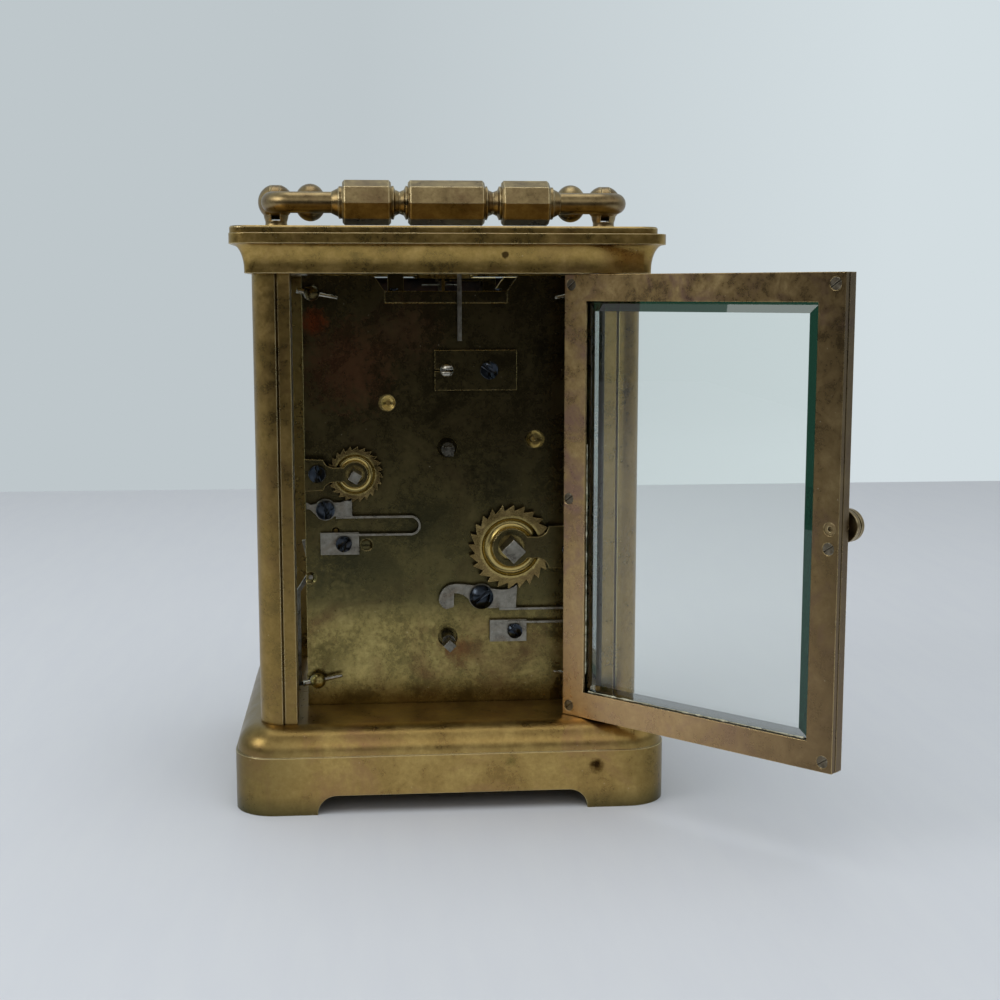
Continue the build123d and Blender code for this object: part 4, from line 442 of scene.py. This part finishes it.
def clear_glass(name, up_way, side_way):
    """Polished plate glass: clear on its flat faces, painted near-black green on its bevels as the shade they show,
    with dust and smears.
    """
    material, tree = blank(name)
    coords = add(tree, "ShaderNodeTexCoord").outputs
    smear = {"Vector": coords["Object"], "Scale": per_mm(9.0), "Detail": 6.0, "Roughness": 0.7}
    dust = add(tree, "ShaderNodeTexNoise", smear).outputs["Fac"]
    haze = {"Value": dust, "From Min": 0.5, "From Max": 0.8, "To Min": 0.0, "To Max": 0.05}
    rough = add(tree, "ShaderNodeMapRange", haze).outputs["Result"]
    down_way = tuple(-c for c in up_way)
    shade = 0.0
    for way, depth in ((up_way, 1.0), (side_way, 1.0), (down_way, 0.8)):
        lean = add(tree, "ShaderNodeVectorMath", {0: coords["Normal"], 1: way}, operation="DOT_PRODUCT")
        values = {"Value": lean.outputs["Value"], "From Min": 0.03, "From Max": 0.08, "To Max": depth}
        bevelled = add(tree, "ShaderNodeMapRange", values).outputs["Result"]
        shade = add(tree, "ShaderNodeMath", {0: shade, 1: bevelled}, operation="MAXIMUM").outputs[0]
    # Bevels painted near-black green: painted shade, with the glass's green
    links = {MIX_FACTOR: shade, MIX_LOW: linear("#f6faf7"), MIX_HIGH: linear("#010d05")}
    tint = add(tree, "ShaderNodeMix", links, data_type="RGBA").outputs[MIX_OUT]
    surface = {"Base Color": tint, "Roughness": rough, "IOR": 1.52, "Transmission Weight": 1.0}
    shader = add(tree, "ShaderNodeBsdfPrincipled", surface).outputs[0]
    add(tree, "ShaderNodeOutputMaterial", {"Surface": shader})
    return material


door_turn = math.radians(134.0)
upright = (0.0, 0.0, 1.0)
door_way = (math.cos(door_turn), math.sin(door_turn), 0.0)
pane_materials = {
    "top_glass": clear_glass("polished_top_glass", (0.0, 1.0, 0.0), (1.0, 0.0, 0.0)),
    "glass_left": clear_glass("polished_side_glass", upright, (0.0, 1.0, 0.0)),
    "glass_front": clear_glass("polished_front_glass", upright, (1.0, 0.0, 0.0)),
    "door_glass": clear_glass("polished_door_glass", upright, door_way),
}
pane_materials["glass_right"] = pane_materials["glass_left"]


def fired_enamel():
    """Vitreous enamel on copper: ivory white, glossy, with a faint ripple; its back is painted dark, as fired copper
    and as the shade inside the case.
    """
    material, tree = blank("fired_white_enamel")
    place = add(tree, "ShaderNodeTexCoord").outputs["Object"]
    wave = {"Vector": place, "Scale": per_mm(7.0), "Detail": 2.0}
    ripple = add(tree, "ShaderNodeTexNoise", wave).outputs["Fac"]
    stops = [(0.3, linear("#ece4d2")), (0.7, linear("#f6f1e4"))]
    white = add(tree, "ShaderNodeValToRGB", {"Fac": ripple}, stops=stops).outputs["Color"]
    depth = add(tree, "ShaderNodeSeparateXYZ", {"Vector": place}).outputs["Y"]
    behind = {"Value": depth, "From Min": -26.45 * MM, "From Max": -26.3 * MM}
    back = add(tree, "ShaderNodeMapRange", behind).outputs["Result"]
    scale = {"Vector": place, "Scale": per_mm(3.0), "Detail": 5.0}
    flake = add(tree, "ShaderNodeTexNoise", scale).outputs["Fac"]
    # The dial's back: dark fired copper, and painted shade
    stops = [(0.4, linear("#2a1a12")), (0.65, linear("#4a2f20"))]
    copper_and_shade = add(tree, "ShaderNodeValToRGB", {"Fac": flake}, stops=stops).outputs["Color"]
    links = {MIX_FACTOR: back, MIX_LOW: white, MIX_HIGH: copper_and_shade}
    tint = add(tree, "ShaderNodeMix", links, data_type="RGBA").outputs[MIX_OUT]
    height = {"Strength": 0.08, "Distance": 0.3 * MM, "Height": ripple}
    bumped = add(tree, "ShaderNodeBump", height).outputs["Normal"]
    gloss = {"Value": back, "To Min": 0.12, "To Max": 0.6}
    rough = add(tree, "ShaderNodeMapRange", gloss).outputs["Result"]
    surface = {"Base Color": tint, "Roughness": rough, "IOR": 1.52, "Normal": bumped}
    shader = add(tree, "ShaderNodeBsdfPrincipled", surface).outputs[0]
    add(tree, "ShaderNodeOutputMaterial", {"Surface": shader})
    return material


def plain_finish(name, low, high, size, rough, bump=0.1):
    """A matt or glossy coat with a fine uneven grain of this size in millimetres."""
    material, tree = blank(name)
    place = add(tree, "ShaderNodeTexCoord").outputs["Object"]
    grain = {"Vector": place, "Scale": per_mm(size), "Detail": 5.0, "Roughness": 0.65}
    value = add(tree, "ShaderNodeTexNoise", grain).outputs["Fac"]
    stops = [(0.35, linear(low)), (0.65, linear(high))]
    tint = add(tree, "ShaderNodeValToRGB", {"Fac": value}, stops=stops).outputs["Color"]
    height = {"Strength": bump, "Distance": 0.1 * MM, "Height": value}
    bumped = add(tree, "ShaderNodeBump", height).outputs["Normal"]
    surface = {"Base Color": tint, "Roughness": rough, "Normal": bumped}
    shader = add(tree, "ShaderNodeBsdfPrincipled", surface).outputs[0]
    add(tree, "ShaderNodeOutputMaterial", {"Surface": shader})
    return material


enamel = fired_enamel()
# Black ceramic paint of the numerals, fired into the enamel: glossy, a little worn
fired_black = plain_finish("fired_black_paint", "#0d0d10", "#1d1c20", 1.2, 0.18, 0.05)
# Dried metal polish in the corners of the door: cream, chalky, cracked
dried_polish = plain_finish("dried_metal_polish", "#7d8066", "#d9d6bd", 0.7, 0.9, 0.6)

slot_materials = {
    "case_brass": case_brass,
    "bail_brass": bail_brass,
    "plate_brass": plate_brass,
    "wheel_brass": wheel_brass,
    "bell_metal": bell_metal,
    "steel": steel,
    "blued_steel": blued_steel,
    "glass": pane_materials["glass_left"],
    "enamel": enamel,
}
own_materials = {
    "base_plinth": base_brass,
    "door_frame": door_brass,
    "door_retainer": door_brass,
    "door_knob": bail_brass,
    "going_ratchet": ratchet_brass,
    "alarm_ratchet": ratchet_brass,
    "centre_arbor": hand_steel,
    "alarm_setting": hand_steel,
    "door_screws": browned_steel,
    **pane_materials,
}

for name, node in nodes.items():
    for part_slot in node.material_slots:
        slot_name = part_slot.material.name.split(".")[0]
        part_slot.material = own_materials.get(name) or slot_materials[slot_name]


# Modelling helpers


def fresh():
    """Back to object mode with nothing selected."""
    if bpy.context.object and bpy.context.object.mode != "OBJECT":
        bpy.ops.object.mode_set(mode="OBJECT")
    bpy.ops.object.select_all(action="DESELECT")


def choose(*objects):
    fresh()
    for each in objects:
        each.select_set(True)
    bpy.context.view_layer.objects.active = objects[0]


def pick(piece, test, kind="FACE"):
    """Edit mode with the faces or edges selected whose middle and normal pass the test."""
    choose(piece)
    bpy.ops.object.mode_set(mode="EDIT")
    bpy.ops.mesh.select_mode(type=kind)
    bpy.ops.mesh.select_all(action="DESELECT")
    bpy.ops.object.mode_set(mode="OBJECT")
    mesh = piece.data
    if kind == "FACE":
        for face in mesh.polygons:
            face.select = test(face.center, face.normal)
    else:
        for edge in mesh.edges:
            ends = [mesh.vertices[i].co for i in edge.vertices]
            edge.select = test((ends[0] + ends[1]) / 2, ends[1] - ends[0])
    bpy.ops.object.mode_set(mode="EDIT")


def finish_piece(piece, name, material, body, smooth=35.0):
    """Names a piece, gives it its finish, and lets it ride on its body."""
    choose(piece)
    bpy.ops.object.transform_apply(location=True, rotation=True, scale=True)
    bpy.ops.object.shade_smooth_by_angle(angle=math.radians(smooth))
    piece.name = name
    piece.data.name = name
    piece.data.materials.clear()
    piece.data.materials.append(material)
    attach(piece, body)
    return piece


def joined(pieces):
    choose(*pieces)
    if len(pieces) > 1:
        bpy.ops.object.join()
    return bpy.context.object


def placed_copy(pattern, matrix):
    """A copy of a modelled pattern, with its own mesh, moved by this matrix."""
    made = pattern.copy()
    made.data = pattern.data.copy()
    made.data.transform(matrix)
    bpy.context.scene.collection.objects.link(made)
    return made


def cad_copy(name):
    """A free copy of a CAD node with its loose triangles merged."""
    source = nodes[name]
    made = bpy.data.objects.new(name + "_copy", source.data.copy())
    made.data.transform(source.matrix_world)
    bpy.context.scene.collection.objects.link(made)
    choose(made)
    bpy.ops.object.mode_set(mode="EDIT")
    bpy.ops.mesh.select_all(action="SELECT")
    bpy.ops.mesh.remove_doubles(threshold=0.000002)
    bpy.ops.object.mode_set(mode="OBJECT")
    return made


# Screws and pins of the movement: dark blued screws, and bright taper pins with one bright screw

screws = cad_copy("movement_screws")
choose(screws)
bpy.ops.mesh.separate(type="LOOSE")
bright, blued = [], []
for each in list(bpy.context.selected_objects):
    points = [v.co for v in each.data.vertices]
    lengthwise = max(p.x for p in points) - min(p.x for p in points)
    middle = sum(points, Vector()) / len(points)
    bearing_screw = abs(middle.x) < 2.0 * MM and middle.z > 90 * MM
    taper_pin = lengthwise > 8.0 * MM
    (bright if bearing_screw or taper_pin else blued).append(each)
bright_pins = finish_piece(joined(bright), "bright_pins", bright_steel, "case", 40.0)
blued_screws = finish_piece(joined(blued), "blued_screws", blued_steel, "case", 40.0)
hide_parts("movement_screws")
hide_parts("movement_screws")


# Dial: hour numerals, minute track and alarm ring, fired on the enamel

dial_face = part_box("dial_plate")[0][1]
dial_centre = Vector((0.0, dial_face, 77.7 * MM))
alarm_centre = Vector((0.0, dial_face, 34.0 * MM))
print_height = 0.03 * MM
# The dial is read from the front, where -y is outwards: its right is +x and its top is +z
to_dial = Matrix(((1, 0, 0, 0), (0, 0, -1, 0), (0, 1, 0, 0), (0, 0, 0, 1)))


def numeral_stroke(width, height):
    """One stroke of a numeral with flared serifs, flat on x and y, of a coat's thickness."""
    fresh()
    bpy.ops.mesh.primitive_plane_add(size=1, location=(0, 0, 0))
    stroke = bpy.context.object
    stroke.data.transform(Matrix.Diagonal((width, height * 0.84, 1, 1)))
    for end in (-1, 1):
        pick(stroke, lambda middle, run: middle.y * end > height * 0.4, "EDGE")
        bpy.ops.mesh.extrude_region_move(TRANSFORM_OT_translate={"value": (0, end * height * 0.05, 0)})
        bpy.ops.transform.resize(value=(1 + 0.5 * height / 6 / width * 0.4, 1, 1))
        bpy.ops.mesh.extrude_region_move(TRANSFORM_OT_translate={"value": (0, end * height * 0.03, 0)})
        bpy.ops.transform.resize(value=(1.35, 1, 1))
        bpy.ops.object.mode_set(mode="OBJECT")
    pick(stroke, lambda middle, normal: True)
    bpy.ops.mesh.extrude_region_move(TRANSFORM_OT_translate={"value": (0, 0, print_height)})
    bpy.ops.mesh.select_all(action="SELECT")
    bpy.ops.mesh.normals_make_consistent(inside=False)
    bpy.ops.object.mode_set(mode="OBJECT")
    return stroke


numeral_height = 5.4 * MM
numeral_radius = 20.3 * MM
thick_stroke = numeral_stroke(0.85 * MM, numeral_height)
thin_stroke = numeral_stroke(0.22 * MM, numeral_height)
lean = math.radians(17.0)
# Each letter: its width, and its strokes with their step to the side and their lean
letters = {
    "I": (1.35 * MM, [(thick_stroke, 0.0, 0.0)]),
    "V": (3.0 * MM, [(thick_stroke, -0.75 * MM, lean), (thin_stroke, 0.8 * MM, -lean)]),
    "X": (3.0 * MM, [(thick_stroke, 0.0, lean), (thin_stroke, 0.0, -lean)]),
}
numerals = ["XII", "I", "II", "III", "IIII", "V", "VI", "VII", "VIII", "IX", "X", "XI"]
strokes = []
for hour, numeral in enumerate(numerals):
    width = sum(letters[letter][0] for letter in numeral)
    x = -width / 2
    turn = Matrix.Rotation(-math.radians(30 * hour), 4, "Z")
    for letter in numeral:
        step, parts = letters[letter]
        for pattern, side, slant in parts:
            place = Matrix.Translation((x + step / 2 + side, numeral_radius, 0))
            local = turn @ place @ Matrix.Rotation(slant, 4, "Z")
            strokes.append(placed_copy(pattern, Matrix.Translation(dial_centre) @ to_dial @ local))
        x += step
numeral_piece = finish_piece(joined(strokes), "hour_numerals", fired_black, "case", 30.0)
for pattern in (thick_stroke, thin_stroke):
    bpy.data.objects.remove(pattern)


def printed_ring(centre, radius, width, steps):
    """A thin circle of paint on the dial."""
    fresh()
    bpy.ops.mesh.primitive_circle_add(vertices=steps, radius=radius, fill_type="NOTHING")
    ring = bpy.context.object
    pick(ring, lambda middle, run: True, "EDGE")
    bpy.ops.mesh.extrude_region_move()
    growth = 1 + width / radius
    bpy.ops.transform.resize(value=(growth, growth, 1))
    bpy.ops.mesh.select_all(action="SELECT")
    bpy.ops.mesh.extrude_region_move(TRANSFORM_OT_translate={"value": (0, 0, print_height)})
    bpy.ops.mesh.select_all(action="SELECT")
    bpy.ops.mesh.normals_make_consistent(inside=False)
    bpy.ops.object.mode_set(mode="OBJECT")
    ring.data.transform(Matrix.Translation(centre) @ to_dial)
    return ring


def printed_mark(width, length):
    """One tapered minute mark, wider at its outer end."""
    fresh()
    bpy.ops.mesh.primitive_plane_add(size=1, location=(0, 0, 0))
    mark = bpy.context.object
    mark.data.transform(Matrix.Diagonal((width, length, 1, 1)))
    pick(mark, lambda middle, run: middle.y > length * 0.4, "EDGE")
    bpy.ops.transform.resize(value=(1.3, 1, 1))
    bpy.ops.object.mode_set(mode="OBJECT")
    pick(mark, lambda middle, normal: True)
    bpy.ops.mesh.extrude_region_move(TRANSFORM_OT_translate={"value": (0, 0, print_height)})
    bpy.ops.mesh.select_all(action="SELECT")
    bpy.ops.mesh.normals_make_consistent(inside=False)
    bpy.ops.object.mode_set(mode="OBJECT")
    return mark


def marked_ring(name, centre, inner, outer, count, every, width):
    """Two circles with marks between them, every so many of them bolder."""
    line = 0.1 * MM
    parts = [printed_ring(centre, inner, line, 96), printed_ring(centre, outer, line, 96)]
    slim = printed_mark(width, outer - inner)
    bold = printed_mark(width * 2.6, outer - inner)
    for index in range(count):
        pattern = bold if index % every == 0 else slim
        turn = Matrix.Rotation(-2 * math.pi * index / count, 4, "Z")
        local = turn @ Matrix.Translation((0, (inner + outer) / 2, 0))
        parts.append(placed_copy(pattern, Matrix.Translation(centre) @ to_dial @ local))
    for pattern in (slim, bold):
        bpy.data.objects.remove(pattern)
    return finish_piece(joined(parts), name, fired_black, "case", 30.0)


marked_ring("minute_track", dial_centre, 24.2 * MM, 25.6 * MM, 60, 5, 0.16 * MM)
marked_ring("alarm_track", alarm_centre, 10.4 * MM, 11.2 * MM, 48, 4, 0.12 * MM)

figures = []
for hour in range(1, 13):
    fresh()
    bpy.ops.object.text_add(location=(0, 0, 0))
    text = bpy.context.object
    text.data.body = str(hour)
    text.data.align_x = "CENTER"
    text.data.align_y = "CENTER"
    text.data.size = 3.0 * MM
    text.data.extrude = print_height / 2
    text.data.resolution_u = 3
    bpy.ops.object.convert(target="MESH")
    figure = bpy.context.object
    angle = -math.radians(30 * hour)
    local = Matrix.Rotation(angle, 4, "Z") @ Matrix.Translation((0, 8.6 * MM, print_height / 2))
    figure.data.transform(Matrix.Translation(alarm_centre) @ to_dial @ local)
    figures.append(figure)
finish_piece(joined(figures), "alarm_figures", fired_black, "case", 30.0)


# Dried polish left along the lower and hinge edges of the door's pane

hinge_low, hinge_high = (Vector(corner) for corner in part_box("hinge_pins"))
hinge = Vector(((hinge_low.x + hinge_high.x) / 2, (hinge_low.y + hinge_high.y) / 2, 0))
opened = Matrix.Translation(hinge) @ Matrix.Rotation(door_turn, 4, "Z") @ Matrix.Translation(-hinge)


def polish_bead(start, end, thickness, lumps):
    """A crumbly bead from start to end on the closed door, swollen and pinched along its way."""
    run = end - start
    fresh()
    bpy.ops.mesh.primitive_cylinder_add(vertices=7, radius=thickness / 2, depth=run.length, location=(0, 0, 0))
    bead = bpy.context.object
    pick(bead, lambda middle, normal: abs(normal.z) < 0.5)
    bpy.ops.mesh.bisect(plane_co=(0, 0, 0), plane_no=(0, 0, 1))
    for index in range(1, lumps):
        bpy.ops.mesh.select_all(action="SELECT")
        height = run.length * (index / lumps - 0.5) + dice.uniform(-0.2, 0.2) * run.length / lumps
        bpy.ops.mesh.bisect(plane_co=(0, 0, height), plane_no=(0, 0, 1))
    bpy.ops.object.mode_set(mode="OBJECT")
    rings = {}
    for vertex in bead.data.vertices:
        rings.setdefault(round(vertex.co.z / MM, 2), []).append(vertex)
    for ring in rings.values():
        swell = dice.uniform(0.15, 1.2)
        for vertex in ring:
            vertex.co.x *= swell * dice.uniform(0.7, 1.2)
            vertex.co.y *= swell * dice.uniform(0.7, 1.2)
    bead.data.transform(run.to_track_quat("Z", "Y").to_matrix().to_4x4())
    bead.data.transform(Matrix.Translation((start + end) / 2))
    bead.data.transform(opened)
    return bead


door_half = hinge.x * -1 + 4.3 * MM
pane_low = Vector(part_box("door_glass")[0])
pane_high = Vector(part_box("door_glass")[1])
sight_low = pane_low.z + 1.6 * MM
sight_high = pane_high.z - 1.6 * MM
stile = 5.7 * MM
pane_face = hinge.y - 1.85 * MM + 0.7 * MM
bead_line = [
    (Vector((-door_half + stile + 1.0 * MM, pane_face, sight_low + 0.15 * MM)),
     Vector((door_half - stile - 1.0 * MM, pane_face, sight_low + 0.15 * MM)), 0.45 * MM, 46),
    (Vector((-door_half + stile + 0.15 * MM, pane_face, sight_low + 4 * MM)),
     Vector((-door_half + stile + 0.15 * MM, pane_face, sight_low + 55 * MM)), 0.35 * MM, 44),
]
beads = [polish_bead(*line) for line in bead_line]
finish_piece(joined(beads), "polish_residue", dried_polish, "door", 60.0)


# Floor, background, light and camera


def pale_floor():
    """Matt pale table top with the faintest grain that runs towards the camera."""
    material, tree = blank("pale_table")
    place = add(tree, "ShaderNodeTexCoord").outputs["Object"]
    stretched = add(tree, "ShaderNodeMapping", {"Vector": place, "Scale": (1.0, 0.15, 1.0)}).outputs["Vector"]
    boards = {"Vector": stretched, "Scale": per_mm(6.0), "Detail": 5.0, "Roughness": 0.6}
    grain = add(tree, "ShaderNodeTexNoise", boards).outputs["Fac"]
    stops = [(0.35, linear("#cbcfd5")), (0.65, linear("#cdd1d6"))]
    tint = add(tree, "ShaderNodeValToRGB", {"Fac": grain}, stops=stops).outputs["Color"]
    surface = {"Base Color": tint, "Roughness": 0.6}
    shader = add(tree, "ShaderNodeBsdfPrincipled", surface).outputs[0]
    add(tree, "ShaderNodeOutputMaterial", {"Surface": shader})
    return material


table_front = 0.37
table_back = -0.52
fresh()
bpy.ops.mesh.primitive_plane_add(size=1, location=(0, 0, 0))
floor = bpy.context.active_object
floor.name = "table_top"
floor.data.transform(Matrix.Diagonal((3.2, table_front - table_back, 1, 1)))
floor.data.transform(Matrix.Translation((0, (table_front + table_back) / 2, 0)))
floor.data.materials.append(pale_floor())

# The room: a pale wall behind, a dim room behind the camera, and light that falls from above
world = bpy.data.worlds.new("studio")
bpy.context.scene.world = world
world.use_nodes = True
tree = world.node_tree
tree.nodes.clear()
direction = add(tree, "ShaderNodeTexCoord").outputs["Generated"]
split = add(tree, "ShaderNodeSeparateXYZ", {"Vector": direction})
rise = add(tree, "ShaderNodeMath", {0: split.outputs["Z"], 1: 0.5, 2: 0.5}, operation="MULTIPLY_ADD")
height_stops = [
    (0.0, grey(0.15)),
    (0.45, grey(0.05)),
    (0.6, grey(0.05)),
    (0.7, grey(1.0)),
    (0.8, grey(0.6)),
    (1.0, grey(0.3)),
]
height = add(tree, "ShaderNodeValToRGB", {"Fac": rise.outputs[0]}, stops=height_stops).outputs["Color"]
back = {"Value": split.outputs["Y"], "From Min": 0.15, "From Max": -0.35}
behind = add(tree, "ShaderNodeMapRange", back).outputs["Result"]
sideways = {"Value": split.outputs["X"], "From Min": 0.0, "From Max": -0.33}
across = add(tree, "ShaderNodeMapRange", sideways).outputs["Result"]
wall_links = {MIX_FACTOR: across, MIX_LOW: linear("#bec7cb"), MIX_HIGH: linear("#d3dde1")}
wall = add(tree, "ShaderNodeMix", wall_links, data_type="RGBA").outputs[MIX_OUT]
room_links = {MIX_FACTOR: behind, MIX_LOW: height, MIX_HIGH: linear("#b4bcc0")}
room = add(tree, "ShaderNodeMix", room_links, data_type="RGBA").outputs[MIX_OUT]
path = add(tree, "ShaderNodeLightPath").outputs
seen = add(tree, "ShaderNodeMath", {0: path["Is Camera Ray"], 1: path["Is Transmission Ray"]}, operation="MAXIMUM")
lighting = add(tree, "ShaderNodeBackground", {"Color": room, "Strength": 1.0}).outputs[0]
shown = add(tree, "ShaderNodeBackground", {"Color": wall, "Strength": 1.0}).outputs[0]
mixed = add(tree, "ShaderNodeMixShader", {0: seen.outputs[0], 1: lighting, 2: shown}).outputs[0]
add(tree, "ShaderNodeOutputWorld", {"Surface": mixed})


def softbox(name, place, target, size, power):
    """A square soft lamp that faces its target."""
    lamp = bpy.data.lights.new(name, "AREA")
    lamp.shape = "SQUARE"
    lamp.size = size
    lamp.energy = power
    holder = bpy.data.objects.new(name, lamp)
    bpy.context.scene.collection.objects.link(holder)
    holder.location = place
    holder.rotation_euler = (Vector(target) - Vector(place)).to_track_quat("-Z", "Y").to_euler()
    return holder


softbox("ceiling_softbox", (0.0, -0.12, 1.0), (0, 0, 0.08), 0.6, 1.6)
front_softbox = softbox("front_softbox", (0.0, 0.3, 0.9), (0, 0.1, 0.0), 0.9, 3.6)
front_softbox.visible_glossy = False
softbox("left_softbox", (0.7, 0.35, 0.55), (0, 0, 0.06), 0.4, 1.6)

yaw = math.radians(5.04)
pitch = math.radians(7.735)
forward = Vector(
    (-math.sin(yaw) * math.cos(pitch), -math.cos(yaw) * math.cos(pitch), -math.sin(pitch))
)
right = Vector((-math.cos(yaw), math.sin(yaw), 0))
up = right.cross(forward)
lens = bpy.data.cameras.new("photo_camera")
lens.lens = 54.64
lens.sensor_width = 36
lens.clip_start = 0.01
camera = bpy.data.objects.new("photo_camera", lens)
bpy.context.scene.collection.objects.link(camera)
axes = Matrix((right, up, -forward)).transposed().to_4x4()
camera.matrix_world = Matrix.Translation((0.01802, 0.36066, 0.11202)) @ axes
bpy.context.scene.camera = camera
bpy.context.scene.view_settings.view_transform = "Standard"
